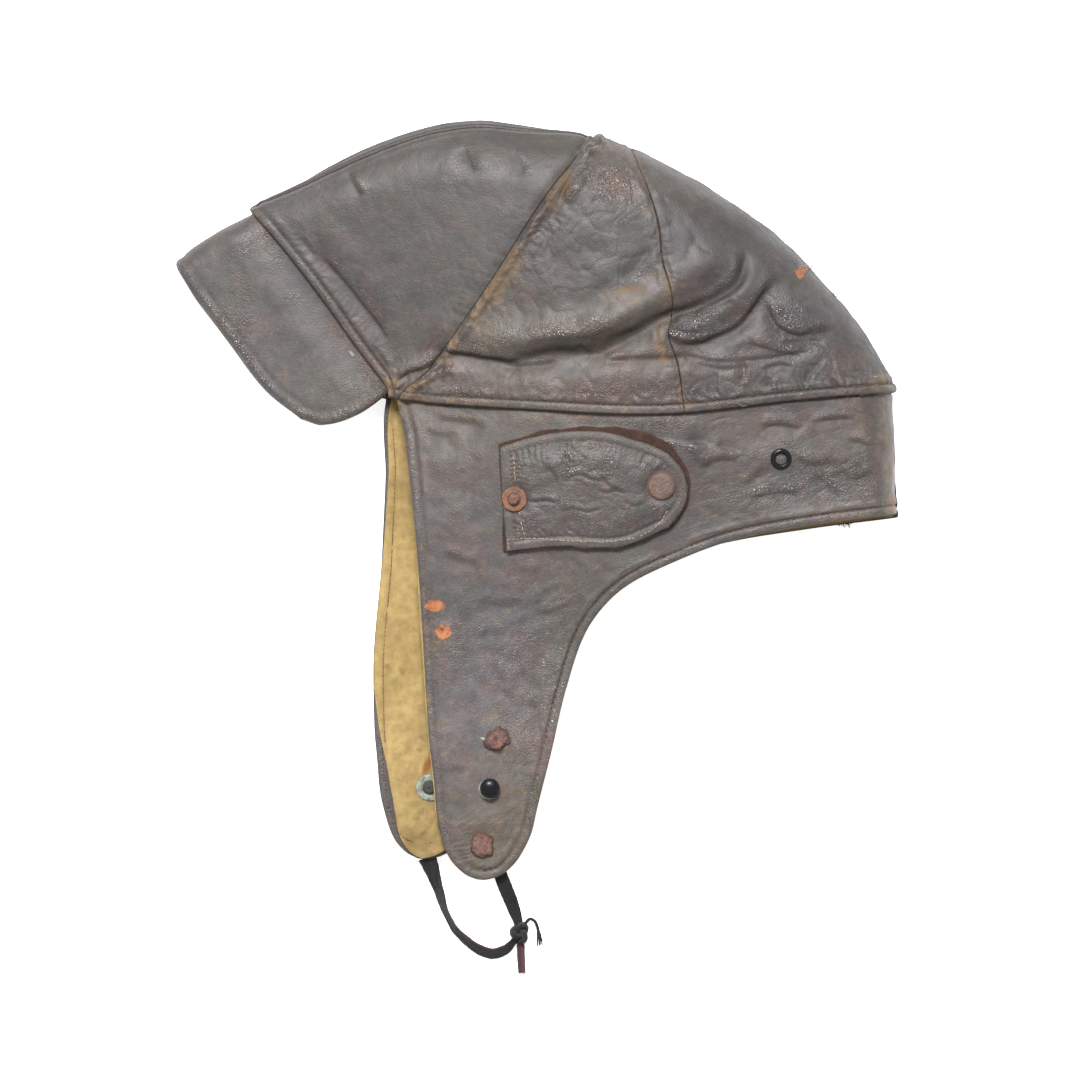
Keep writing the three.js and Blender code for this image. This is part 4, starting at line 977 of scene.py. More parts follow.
class Maker:
    """Short names for making shader nodes."""

    def __init__(self, nt):
        self.nt = nt
        self.co = nt.nodes.new("ShaderNodeTexCoord").outputs["Object"]

    def link(self, a, b):
        self.nt.links.new(a, b)

    def put(self, socket, value):
        if hasattr(value, "links"):
            self.link(value, socket)
        else:
            socket.default_value = value

    def noise(self, scale, detail=4, rough=0.55, distort=0.0, co=None):
        n = self.nt.nodes.new("ShaderNodeTexNoise")
        n.inputs["Scale"].default_value = scale
        n.inputs["Detail"].default_value = detail
        n.inputs["Roughness"].default_value = rough
        n.inputs["Distortion"].default_value = distort
        self.link(co or self.co, n.inputs["Vector"])
        return n.outputs["Fac"]

    def voronoi(self, scale, feature="F1", smoothness=None, co=None, out="Distance"):
        n = self.nt.nodes.new("ShaderNodeTexVoronoi")
        n.feature = feature
        n.inputs["Scale"].default_value = scale
        if smoothness is not None and "Smoothness" in n.inputs:
            n.inputs["Smoothness"].default_value = smoothness
        self.link(co or self.co, n.inputs["Vector"])
        return n.outputs[out]

    def vector_noise(self, scale):
        n = self.nt.nodes.new("ShaderNodeTexNoise")
        n.inputs["Scale"].default_value = scale
        n.inputs["Detail"].default_value = 2
        self.link(self.co, n.inputs["Vector"])
        return n.outputs["Color"]

    def attr(self, name):
        n = self.nt.nodes.new("ShaderNodeAttribute")
        n.attribute_name = name
        return n.outputs["Fac"]

    def math(self, op, a, b=None, c=None, clamp=False):
        n = self.nt.nodes.new("ShaderNodeMath")
        n.operation = op
        n.use_clamp = clamp
        self.put(n.inputs[0], a)
        if b is not None:
            self.put(n.inputs[1], b)
        if c is not None:
            self.put(n.inputs[2], c)
        return n.outputs[0]

    def step(self, value, lo, hi, a=0.0, b=1.0):
        n = self.nt.nodes.new("ShaderNodeMapRange")
        n.interpolation_type = "SMOOTHSTEP"
        self.put(n.inputs["Value"], value)
        n.inputs["From Min"].default_value = lo
        n.inputs["From Max"].default_value = hi
        n.inputs["To Min"].default_value = a
        n.inputs["To Max"].default_value = b
        return n.outputs["Result"]

    def mix(self, fac, a, b, blend="MIX"):
        n = self.nt.nodes.new("ShaderNodeMix")
        n.data_type = "RGBA"
        n.blend_type = blend
        self.put(n.inputs["Factor"], fac)
        for s, v in ((n.inputs["A"], a), (n.inputs["B"], b)):
            self.put(s, (*v, 1.0) if isinstance(v, tuple) and len(v) == 3 else v)
        return n.outputs["Result"]

    def bump(self, height, strength, distance, normal=None):
        n = self.nt.nodes.new("ShaderNodeBump")
        n.inputs["Strength"].default_value = strength
        n.inputs["Distance"].default_value = distance
        self.link(height, n.inputs["Height"])
        if normal is not None:
            self.link(normal, n.inputs["Normal"])
        return n.outputs["Normal"]


def leather_material():
    mat, nt, bsdf = nodes_of("old_leather")
    m = Maker(nt)
    big = m.noise(22, 3, 0.5)
    mid = m.noise(85, 4, 0.6, 0.4)
    patch = m.noise(190, 5, 0.7, 0.6)
    small = m.noise(520, 3, 0.6)
    speck = m.noise(1500, 2, 0.7)
    tan, orange, pale, red, dirt, gloss = (m.attr(k) for k in ("tan", "orange", "pale", "red", "dirt", "gloss"))
    grey = m.mix(m.step(big, 0.35, 0.65), LEATHER_GREY, LEATHER_GREEN)
    grey = m.mix(m.step(patch, 0.50, 0.72), grey, LEATHER_OLIVE)
    reddish = m.math("ADD", m.math("MULTIPLY", red, 0.7), m.math("MULTIPLY", m.step(mid, 0.60, 0.36), 0.32), clamp=True)
    col = m.mix(m.math("MULTIPLY", reddish, m.step(patch, 0.30, 0.62, 0.55, 1.0)), grey, LEATHER_RED)
    # soft light and dark mottling, then a fine grain
    mottle = m.step(m.noise(150, 4, 0.65), 0.28, 0.72, 0.82, 1.19)
    grain = m.step(small, 0.3, 0.7, 0.91, 1.09)
    fine = m.step(speck, 0.25, 0.75, 0.86, 1.14)
    shade = m.math("MULTIPLY", m.math("MULTIPLY", grain, fine), mottle)
    n = nt.nodes.new("ShaderNodeCombineColor")
    for k in range(3):
        m.link(shade, n.inputs[k])
    col = m.mix(1.0, col, n.outputs[0], "MULTIPLY")
    # rubbed places: tan first, then the orange flesh side, broken up by the grain
    broken = m.math("ADD", m.math("MULTIPLY", m.noise(380, 5, 0.8), 3.2), m.math("MULTIPLY", speck, 1.1))
    tan_mask = m.step(m.math("ADD", m.math("MULTIPLY", tan, 1.25), m.math("SUBTRACT", broken, 2.24)), 0.05, 0.95)
    col = m.mix(m.math("MULTIPLY", tan_mask, 0.8), col, LEATHER_TAN)
    edge = m.math("SUBTRACT", m.noise(330, 4, 0.65), 0.5)
    orange_mask = m.step(m.math("ADD", orange, m.math("MULTIPLY", edge, 1.1)), 0.42, 0.66)
    suede = m.mix(m.step(small, 0.3, 0.7), (0.22, 0.065, 0.020), (0.34, 0.125, 0.045))
    col = m.mix(orange_mask, col, suede)
    pale_mask = m.step(m.math("ADD", pale, m.math("MULTIPLY", edge, 1.4)), 0.5, 0.9)
    col = m.mix(m.math("MULTIPLY", pale_mask, 0.75), col, (0.24, 0.22, 0.20))
    # painted shade in creases, pleats, seams, stitch grooves, at turned edges and under the hem
    col = m.mix(m.math("MULTIPLY", dirt, 0.72), col, (0.015, 0.009, 0.0075))
    # charted tone with painted light: highlights, fold shade and a brightness gradient
    tone_and_painted_light = m.math("ADD", m.attr("tone_and_painted_light"), 1.0)
    warm = m.attr("warm")
    n = nt.nodes.new("ShaderNodeCombineColor")
    for k, by in enumerate((0.09, 0.0, -0.13)):
        m.link(m.math("MULTIPLY", tone_and_painted_light, m.math("MULTIPLY_ADD", warm, by, 1.0)), n.inputs[k])
    col = m.mix(1.0, col, n.outputs[0], "MULTIPLY")
    m.link(col, bsdf.inputs["Base Color"])
    dull = m.math("ADD", tan_mask, orange_mask, clamp=True)
    shiny = m.math("MULTIPLY", gloss, m.step(m.noise(160, 4, 0.6), 0.34, 0.62))
    rough = m.math("SUBTRACT", m.step(mid, 0.3, 0.7, 0.50, 0.60), m.math("MULTIPLY", shiny, 0.28))
    rough = m.math("ADD", rough, m.math("MULTIPLY", dull, 0.14))
    m.link(m.math("ADD", rough, m.math("MULTIPLY", dirt, 0.25)), bsdf.inputs["Roughness"])
    bsdf.inputs["Specular IOR Level"].default_value = 0.5
    pores = m.voronoi(1350, "SMOOTH_F1", 0.5)
    warp = nt.nodes.new("ShaderNodeVectorMath")
    warp.operation = "MULTIPLY_ADD"
    m.link(m.vector_noise(300), warp.inputs[0])
    warp.inputs[1].default_value = (0.0022, 0.0022, 0.0022)
    m.link(m.co, warp.inputs[2])
    net = m.voronoi(780, "DISTANCE_TO_EDGE", co=warp.outputs[0])
    hair = m.noise(2300, 2, 0.6)
    b1 = m.bump(m.math("MULTIPLY", pores, m.math("ADD", gloss, 0.38)), 0.55, 0.00026)
    b2 = m.bump(m.math("MULTIPLY", m.math("MINIMUM", net, 0.16), m.math("ADD", gloss, 0.06)), 0.8, 0.0009, b1)
    b3 = m.bump(small, 0.10, 0.0004, b2)
    b4 = m.bump(hair, 0.36, 0.00014, b3)
    m.link(b4, bsdf.inputs["Normal"])
    return mat


def raw_leather_material():
    mat, nt, bsdf = nodes_of("raw_cut_leather")
    m = Maker(nt)
    a, b = m.noise(520, 5, 0.7, 0.4), m.noise(1900, 3, 0.7)
    col = m.mix(m.step(a, 0.36, 0.62), (0.032, 0.017, 0.012), (0.062, 0.029, 0.018))
    col = m.mix(m.step(b, 0.56, 0.76), col, (0.125, 0.062, 0.034))
    col = m.mix(m.math("MULTIPLY", m.attr("dirt"), 0.6), col, (0.016, 0.008, 0.006))
    m.link(col, bsdf.inputs["Base Color"])
    bsdf.inputs["Roughness"].default_value = 0.92
    bsdf.inputs["Specular IOR Level"].default_value = 0.2
    bsdf.inputs["Sheen Weight"].default_value = 0.15
    m.link(m.bump(b, 0.9, 0.0004, m.bump(a, 0.8, 0.0008)), bsdf.inputs["Normal"])
    return mat


def cloth_material(name, light, dark, stain, scale=1.0):
    mat, nt, bsdf = nodes_of(name)
    m = Maker(nt)
    sep = nt.nodes.new("ShaderNodeSeparateXYZ")
    m.link(m.co, sep.inputs[0])
    x, y = sep.outputs[0], sep.outputs[1]
    k = 2 * math.pi / (0.00055 * scale)
    warp = m.math("SINE", m.math("MULTIPLY", m.math("ADD", x, y), k))
    weft = m.math("SINE", m.math("MULTIPLY", m.math("SUBTRACT", x, m.math("MULTIPLY", y, 2.0)), k * 0.6))
    weave = m.math("ADD", m.math("MULTIPLY", warp, 0.3), m.math("ADD", m.math("MULTIPLY", weft, 0.2), 0.5))
    patch = m.noise(45, 4, 0.6, 0.3)
    streak = m.noise(260, 3, 0.6)
    col = m.mix(m.step(patch, 0.35, 0.7), light, dark)
    col = m.mix(m.math("MULTIPLY", m.step(m.noise(120, 5, 0.65), 0.56, 0.72), 0.55), col, stain)
    tint = m.math("ADD", m.step(streak, 0.3, 0.7, 0.84, 1.12), m.math("MULTIPLY", m.math("SUBTRACT", weave, 0.5), 0.24))
    n = nt.nodes.new("ShaderNodeCombineColor")
    for c in range(3):
        m.link(tint, n.inputs[c])
    col = m.mix(1.0, col, n.outputs[0], "MULTIPLY")
    # stains, with shade painted in the folds and along the near flap's edge
    col = m.mix(m.math("MULTIPLY", m.attr("dirt"), 0.8), col, stain)
    col = m.mix(m.step(m.math("ADD", m.attr("rust"), m.math("MULTIPLY", streak, 0.5)), 0.45, 1.1), col, (0.20, 0.085, 0.022))
    m.link(col, bsdf.inputs["Base Color"])
    bsdf.inputs["Roughness"].default_value = 0.95
    bsdf.inputs["Specular IOR Level"].default_value = 0.15
    bsdf.inputs["Sheen Weight"].default_value = 0.25
    b = m.bump(weave, 0.5, 0.00012)
    b = m.bump(streak, 0.4, 0.0004, b)
    m.link(b, bsdf.inputs["Normal"])
    return mat


LEATHER_GREY = (0.047, 0.041, 0.0405)
LEATHER_GREEN = (0.050, 0.046, 0.040)
LEATHER_OLIVE = (0.062, 0.048, 0.032)
LEATHER_RED = (0.074, 0.041, 0.034)
LEATHER_TAN = (0.150, 0.092, 0.046)
LEATHER = leather_material()
RAW_LEATHER = raw_leather_material()
LINING = cloth_material("ochre_cotton", (0.345, 0.240, 0.096), (0.275, 0.188, 0.073), (0.12, 0.076, 0.034))


# ------------------------------------------------------------------ frames on the skin
def skin_frame(x, y, side):
    """Points of the skin over plan points, with the outward normal there."""
    x, y = np.asarray(x, float), np.asarray(y, float)
    e = 0.4
    P = skin(x, y, side)
    a = skin(x + e, y, side) - skin(x - e, y, side)
    b = skin(x, y + e, side) - skin(x, y - e, side)
    n = np.cross(a, b)
    n /= np.maximum(1e-9, np.linalg.norm(n, axis=-1))[..., None]
    return P, n * np.broadcast_to(side, x.shape)[..., None]


class Bag:
    """Tubes and turned forms gathered into one mesh."""

    def __init__(self):
        self.v, self.f, self.a, self.n = [], [], {}, 0

    def grid(self, P, closed=True, **attrs):
        """P is rings x sides x 3."""
        n, m = P.shape[:2]
        i, j = np.meshgrid(np.arange(n - 1), np.arange(m if closed else m - 1), indexing="ij")
        a = i * m + j
        b = i * m + (j + 1) % m
        self.f.append(np.stack([a, b, b + m, a + m], -1).reshape(-1, 4) + self.n)
        self.v.append(P.reshape(-1, 3))
        for k, val in attrs.items():
            val = np.asarray(val, float)
            if val.ndim == 1:
                val = val[:, None]
            self.a.setdefault(k, []).append(np.broadcast_to(val, (n, m)).ravel())
        self.n += n * m

    def tube(self, path, radius, sides=6, flat=1.0, across=None, **attrs):
        path = np.asarray(path, float)
        t = np.gradient(path, axis=0)
        t /= np.maximum(1e-9, np.linalg.norm(t, axis=1))[:, None]
        ref = np.array([0, 0, 1.0]) if across is None else np.asarray(across, float)
        s = np.cross(ref, t)
        s /= np.maximum(1e-6, np.linalg.norm(s, axis=1))[:, None]
        u = np.cross(t, s)
        q = 2 * np.pi * np.arange(sides) / sides
        r = np.broadcast_to(radius, (len(path),))[:, None, None]
        P = path[:, None] + r * (np.cos(q)[None, :, None] * s[:, None] + flat * np.sin(q)[None, :, None] * u[:, None])
        ends = [np.broadcast_to(path[0], (1, sides, 3)), P, np.broadcast_to(path[-1], (1, sides, 3))]
        self.grid(np.concatenate(ends), **attrs)

    def make(self, name, mats, angle=50, lift=False):
        """One mesh of all that is in the bag. A stiff piece is lifted whole off the floor."""
        attrs = {k: np.concatenate(v) for k, v in self.a.items()}
        verts = np.concatenate(self.v)
        if lift:
            verts[:, 2] += max(0.0, 0.02 - verts[:, 2].min())
        verts[:, 2] = np.maximum(verts[:, 2], 0.02)
        return new_object(name, verts, np.concatenate(self.f), attrs, mats, angle=angle)


# ------------------------------------------------------------------ chin ribbon
KNOT = (-7.0, -178.9, 3.3)
# x, y, height, turn of its flat from the floor in degrees, width
RIBBON_RIGHT = [
    (-45.0, -147.6, 5.0, 5, 7.6),
    (-43.2, -152.4, 3.9, 10, 6.4),
    (-40.7, -159.8, 2.6, 30, 4.9),
    (-37.7, -169.6, 2.6, 58, 5.3),
    (-33.2, -177.5, 2.6, 56, 5.5),
    (-27.0, -183.4, 2.4, 46, 5.5),
    (-18.8, -187.2, 2.2, 34, 5.5),
    (-13.0, -185.8, 2.1, 30, 4.8),
    (-10.2, -183.0, 2.4, 30, 3.6),
    (-8.6, -181.0, 3.0, 30, 2.8),
]
RIBBON_TAIL = [
    (-5.6, -176.4, 4.2, 0, 0),
    (-4.4, -174.6, 3.9, 0, 0),
    (-2.6, -173.0, 3.3, 0, 0),
    (-0.4, -174.4, 2.5, 0, 0),
    (0.9, -178.9, 1.4, 0, 0),
    (1.7, -184.2, 0.8, 0, 0),
]
RIBBON_LEFT = [
    (-16.0, -151.6, 8.6, 0, 5.6),
    (-13.0, -159.4, 6.8, 2, 5.7),
    (-10.8, -164.8, 4.6, 5, 5.6),
    (-8.9, -170.0, 3.0, 8, 5.0),
    (-7.6, -174.2, 2.6, 5, 3.8),
    (-7.0, -178.9, 2.6, 5, 3.2),
    (-6.6, -183.6, 1.6, 8, 3.3),
    (-6.4, -189.0, 0.9, 4, 3.3),
    (-6.0, -195.4, 0.8, 0, 3.1),
]


def ribbon_material():
    mat, nt, bsdf = nodes_of("black_tape")
    m = Maker(nt)
    rib = nt.nodes.new("ShaderNodeTexWave")
    rib.inputs["Scale"].default_value = 1.0
    a = m.attr("along")
    comb = nt.nodes.new("ShaderNodeCombineXYZ")
    m.link(m.math("MULTIPLY", a, 3.4), comb.inputs[0])
    m.link(comb.outputs[0], rib.inputs["Vector"])
    ribs = rib.outputs["Fac"]
    cloud = m.noise(240, 4, 0.6)
    fluff = m.noise(1700, 3, 0.7)
    col = m.mix(m.step(cloud, 0.35, 0.65), (0.011, 0.0105, 0.0125), (0.020, 0.0185, 0.0195))
    col = m.mix(m.step(fluff, 0.55, 0.8), col, (0.040, 0.036, 0.037))
    col = m.mix(m.math("MULTIPLY", m.attr("red"), m.step(fluff, 0.2, 0.6, 0.75, 1.0)), col, (0.135, 0.056, 0.058))
    m.link(col, bsdf.inputs["Base Color"])
    bsdf.inputs["Roughness"].default_value = 0.9
    bsdf.inputs["Specular IOR Level"].default_value = 0.2
    bsdf.inputs["Sheen Weight"].default_value = 0.1
    m.link(m.bump(ribs, 0.7, 0.00025, m.bump(fluff, 0.5, 0.0002)), bsdf.inputs["Normal"])
    return mat


TAPE = ribbon_material()
TAPE_THICK = 0.6


def tape(bag, rows, count, red=None, curl=0.25, fray=0.0, seed=0.0):
    """A flat tape along rows of x, y, z, turn and width. Gives its centreline."""
    c = Curve(rows)
    t = np.linspace(0, 1, count)
    p = c.at(t)
    g = c.at(np.minimum(1, t + 0.01))[:, :3] - c.at(np.maximum(0, t - 0.01))[:, :3]
    g /= np.linalg.norm(g, axis=1)[:, None]
    flat = np.cross([0, 0, 1.0], g)
    flat /= np.linalg.norm(flat, axis=1)[:, None]
    up = np.cross(g, flat)
    turn = np.radians(p[:, 3])[:, None]
    wide = flat * np.cos(turn) + up * np.sin(turn)
    thin = np.cross(g, wide)
    low = np.abs(wide[:, 2]) * p[:, 4] * 0.5 + np.abs(thin[:, 2]) * TAPE_THICK * 0.5
    centre = p[:, :3].copy()
    centre[:, 2] = np.maximum(centre[:, 2], low + 0.15)
    m = 11
    f = np.linspace(-1, 1, m)
    s = t * c.length
    ripple = perlin(np.stack([s, 0 * s, 0 * s + seed], 1), 7.0)
    w = p[:, 4][:, None] * 0.5 * (1 + 0.05 * perlin(np.stack([s * 3, 0 * s, 0 * s + seed + 5], 1), 3.0)[:, None])
    curve_up = curl * (f[None] ** 2 - 0.4) * (0.6 + ripple[:, None]) + 0.12 * np.sin(f[None] * 7 + ripple[:, None] * 5)
    top = centre[:, None] + (w * f[None])[..., None] * wide[:, None] + (curve_up + TAPE_THICK / 2 * (1 - 0.5 * f[None] ** 8))[..., None] * thin[:, None]
    low_ = centre[:, None] + (w * f[None])[..., None] * wide[:, None] + (curve_up - TAPE_THICK / 2 * (1 - 0.5 * f[None] ** 8))[..., None] * thin[:, None]
    ring = np.concatenate([top, low_[:, ::-1]], 1)
    ring[..., 2] = np.maximum(ring[..., 2], 0.05)
    caps = [ring[:1].mean(1, keepdims=True) + 0 * ring[:1], ring, ring[-1:].mean(1, keepdims=True) + 0 * ring[-1:]]
    full = np.concatenate(caps)
    reds = np.zeros(full.shape[:2])
    if red is not None:
        ff = np.concatenate([f, f[::-1]])
        reds[1:-1] = red(t[:, None], ff[None])
        reds[0], reds[-1] = reds[1], reds[-2]
    ss = np.concatenate([[s[0]], s, [s[-1]]])[:, None] + 0 * reds
    bag.grid(full, red=reds, along=ss)
    return centre, wide, thin


def strands(bag, starts, direction, n, length, r=0.09, spread=0.5, rng=None, drop=0.0, red=0.0):
    """Loose threads from points near a cut edge."""
    rng = rng or RNG
    for k in range(n):
        a = starts[rng.randint(len(starts))] + rng.normal(0, 0.15, 3)
        d = direction / np.linalg.norm(direction) + rng.normal(0, spread, 3) * (1, 1, 0.35)
        L = length * rng.uniform(0.4, 1.2)
        t = np.linspace(0, 1, 8)[:, None]
        bend = rng.normal(0, 0.35, 3) * (1, 1, 0.2)
        p = a + L * (t * d + t**2 * bend)
        p[:, 2] = np.maximum(p[:, 2] - drop * t[:, 0], 0.12)
        bag.tube(p, r * (1 - 0.5 * t[:, 0]), 5, red=red, along=0.0)


def make_ribbons():
    # the knot: an overhand knot of the same tape, drawn tight
    bag = Bag()
    k = KNOT
    t = np.linspace(0, 2 * np.pi, 97)[:-1]
    x, y, z = np.sin(t) + 2 * np.sin(2 * t), np.cos(t) - 2 * np.cos(2 * t), -np.sin(3 * t)
    a = math.radians(25)
    kx, ky = x * math.cos(a) - y * math.sin(a), x * math.sin(a) + y * math.cos(a)
    path = np.stack([k[0] + 1.02 * kx + 0.2, k[1] + 1.22 * ky + 0.3, k[2] + 1.1 * z], 1)
    path = np.concatenate([path, path[:1]])
    tan = np.gradient(path, axis=0)
    tan[0] = tan[-1] = path[1] - path[-2]
    tan /= np.linalg.norm(tan, axis=1)[:, None]
    out = path - np.array(k[:3])
    out[:, 2] *= 0.3
    s = np.cross(tan, out)
    s /= np.linalg.norm(s, axis=1)[:, None]
    u = np.cross(s, tan)
    q = 2 * np.pi * np.arange(12) / 12
    rr = 1.62 + 0.25 * perlin(path * 1.0, 3.0)
    P = path[:, None] + rr[:, None, None] * (1.0 * np.cos(q)[None, :, None] * s[:, None] + 0.78 * np.sin(q)[None, :, None] * u[:, None])
    P = P + 0.10 * np.cos(6 * q)[None, :, None] * s[:, None]
    P[..., 2] = np.maximum(P[..., 2], 0.1)
    bag.grid(P, red=0.0, along=np.linspace(0, 48, len(path)))
    strands(bag, path[::9], np.array([0.5, 0.3, 0.3]), 14, 2.2, 0.07, 1.1)
    knot = bag.make("ribbon_knot_tied", [TAPE], angle=70)
    place(knot, "ribbon", "ribbon_knot")

    bag = Bag()
    centre, wide, thin = tape(bag, RIBBON_LEFT, 90, red=lambda t, f: smooth(t, 0.60, 0.72) * (0.75 + 0.25 * np.sign(f)) + 0 * f, seed=3.0)
    left = bag.make("ribbon_left_tape", [TAPE], angle=60)
    place(left, "ribbon", "ribbon_left", "ribbon_left_tail")
    bag = Bag()
    ends = centre[-1] + np.linspace(-1.4, 1.4, 9)[:, None] * wide[-1]
    strands(bag, ends, np.array([0.03, -1.0, 0.0]), 9, 1.0, 0.07, 0.3, red=0.9)
    edge = centre[8:50] + wide[8:50] * 2.6
    strands(bag, edge, np.array([0.8, -0.5, 0.1]), 5, 1.6, 0.05, 0.5)
    left_frays = place(bag.make("ribbon_left_frays", [TAPE], angle=60), "ribbon")
    path = centre[::3]
    length = float(np.linalg.norm(np.diff(path, axis=0), axis=1).sum()) / 1000
    print("ribbon left", length)

    bag = Bag()
    centre, wide, thin = tape(bag, RIBBON_RIGHT, 130, red=lambda t, f: 0.9 * smooth(t, 0.30, 0.45) * smooth(f, 0.55, 0.95), seed=8.0)
    right = bag.make("ribbon_right_tape", [TAPE], angle=60)
    place(right, "ribbon", "ribbon_right")
    bag = Bag()
    starts = centre[4:10].repeat(3, 0) + np.tile(np.array([-1, 0, 1.0])[:, None] * wide[6] * 2.6, (6, 1))
    strands(bag, starts, np.array([-0.9, -0.5, 0.1]), 12, 1.6, 0.06, 0.5)
    edge = centre[20:120] + wide[20:120] * 2.6
    strands(bag, edge, np.array([0.3, 0.6, 0.3]), 8, 1.1, 0.05, 0.6, red=0.5)
    right_frays = place(bag.make("ribbon_right_frays", [TAPE], angle=60), "ribbon")
    path = centre[::4]
    length = float(np.linalg.norm(np.diff(path, axis=0), axis=1).sum()) / 1000
    print("ribbon right", length)

    # its frayed tail on the other side of the knot
    bag = Bag()
    c = Curve(RIBBON_TAIL)
    t = np.linspace(0, 1, 40)
    p = c.at(t)
    g = np.gradient(p[:, :2], axis=0)
    g /= np.hypot(*g.T)[:, None]
    side = np.stack([-g[:, 1], g[:, 0], 0 * t], 1)
    rng = np.random.RandomState(4)
    for k in range(9):
        f = (k - 4) / 4
        apart = 0.42 + 1.1 * smooth(t, 0.55, 1.0)
        n = int(len(t) * rng.uniform(0.72, 1.0)) if k % 3 else len(t)
        wave = 0.22 * smooth(t, 0.4, 0.9) * perlin(np.stack([t * 9, 0 * t + 7 * k, 0 * t], 1), 1.5)
        q = p[:, :3] + side * (f * 0.9 * apart + wave)[:, None]
        q[:, 2] = np.maximum(q[:, 2] + 0.18 * (k % 2), 0.2)
        bag.tube(q[:n], (0.34 - 0.14 * t[:n]), 6, red=0.06, along=0.0)
    tail = bag.make("ribbon_right_frayed_tail", [TAPE], angle=70)
    place(tail, "ribbon", "ribbon_right_tail")


make_ribbons()


# ------------------------------------------------------------------ crown
def seam_distance(x, y, name):
    d, t, s, _, _ = to_polyline(x, y, SEAMS[name])
    return d, t, s


def crown_outer(name, X, Y, side, P):
    relief, dirt, shine = common_relief(X, Y, side, P)
    d, t, _ = seam_distance(X, Y, "hem")
    relief = relief * smooth(d, 0, 5) + hem_profile(d) + 0.36 * puckers(d, t, hem_line.length, P) + 0.15 * puckers(d, t, hem_line.length, P + 31, 3.2, 1.6, 0.9)
    shine = np.maximum(shine, 0.5 * np.exp(-(((d - 1.9) / 1.3) ** 2)) * smooth(fractal(P + 77, 9.0, 2), -0.2, 0.3))
    # painted shade in the hem's stitch groove and along its turned edge
    dirt = np.maximum(dirt, 0.75 * np.exp(-(((d - HEM_STITCH) / 0.55) ** 2)))
    dirt = np.maximum(dirt, 0.8 * np.exp(-((d / 0.8) ** 2)))
    if name == "front":
        d, t, _ = seam_distance(X, Y, "brow")
        relief = relief * smooth(d, 0, 5) + hem_profile(d) + 0.14 * puckers(d, t, 100, P)
        shine = np.maximum(shine, 0.5 * np.exp(-(((d - 1.9) / 1.3) ** 2)))
        # painted shade in the brow's stitch groove and along its edge
        dirt = np.maximum(dirt, 0.55 * np.exp(-(((d - HEM_STITCH) / 0.55) ** 2)))
        dirt = np.maximum(dirt, 0.7 * np.exp(-((d / 0.8) ** 2)))
    if name in ("front", "middle"):
        d, t, _ = seam_distance(X, Y, "slant")
        if name == "middle":
            relief = relief + seam_profile(d, 0.9) + 0.75 * np.exp(-(((d - 2.6) / 1.9) ** 2)) + 0.46 * puckers(d, t, 132, P, 5.4, 4.4, 0.6)
        else:
            relief = relief + seam_profile(d, 0.4) - 0.55 * np.exp(-((d / 2.2) ** 2)) - 0.45 * np.exp(-(((d - 3.0) / 1.6) ** 2)) + 0.10 * puckers(d, t, 132, P)
            # painted shadow on the front panel where it runs under the middle one's raised edge
            dirt = np.maximum(dirt, 0.34 * np.exp(-((d / 2.4) ** 2)))
        # painted shade in the seam's gap
        dirt = np.maximum(dirt, 0.4 * np.exp(-((d / 0.5) ** 2)))
    if name in ("middle", "rear"):
        d, t, _ = seam_distance(X, Y, "upright")
        relief = relief + seam_profile(d, 0.55) - 0.2 * np.exp(-(((d - 3.0) / 1.6) ** 2)) + 0.14 * puckers(d, t, 112, P, 6.0, 3.0, 1.0)
        # painted shade in the seam's gap
        dirt = np.maximum(dirt, 0.36 * np.exp(-((d / 0.5) ** 2)))
    return relief, dirt, shine


T = fold_line.knots
CROWN = {
    "front": dict(
        patch=coons(fold_line.part(T[K_BROW], T[K_SLANT]), hem_line.part(0, hem_line.knots[1]), along(BROW), along(SLANTING_SEAM)),
        cols=150,
        lap=lambda u: TOP_LAP * np.sin(np.pi * u) ** 0.8,
    ),
    "middle": dict(
        patch=coons(fold_line.part(T[K_SLANT], T[K_UPRIGHT]), hem_line.part(hem_line.knots[1], hem_line.knots[5]), along(SLANTING_SEAM), along(UPRIGHT_SEAM)),
        cols=136,
        lap=lambda u: 0 * u,
    ),
    "rear": dict(
        patch=coons(fold_line.part(T[K_UPRIGHT], T[K_HEM]), hem_line.part(hem_line.knots[5], 1), along(UPRIGHT_SEAM), along([(145.8, 47.1), (146.2, 43.9)])),
        cols=136,
        lap=lambda u: 0 * u,
    ),
}


def rows_from_fold(reach, shoulder, start, turn_rows, flat_rows):
    """Shares of the way from the fold to the hem, close together where the
    skin turns and at both ends."""
    reach, shoulder, start = (np.asarray(v, float)[..., None] for v in (reach, shoulder, start))
    w = np.minimum(shoulder, 0.55 * reach)
    th0 = np.arccos(np.clip(1 - start / w, -1, 1))
    th = th0 + (np.pi / 2 - th0) * np.linspace(0, 1, turn_rows)
    first = w * (1 - np.cos(th)) / reach
    tail = 1 - (CLUSTER * np.minimum(1, reach / 30) / reach)[..., ::-1]
    n = flat_rows
    f = np.linspace(0, 1, n + 2)[1:-1]
    mid = first[..., -1:] + f * (tail[..., :1] - first[..., -1:])
    return np.concatenate([first, mid, tail], -1)


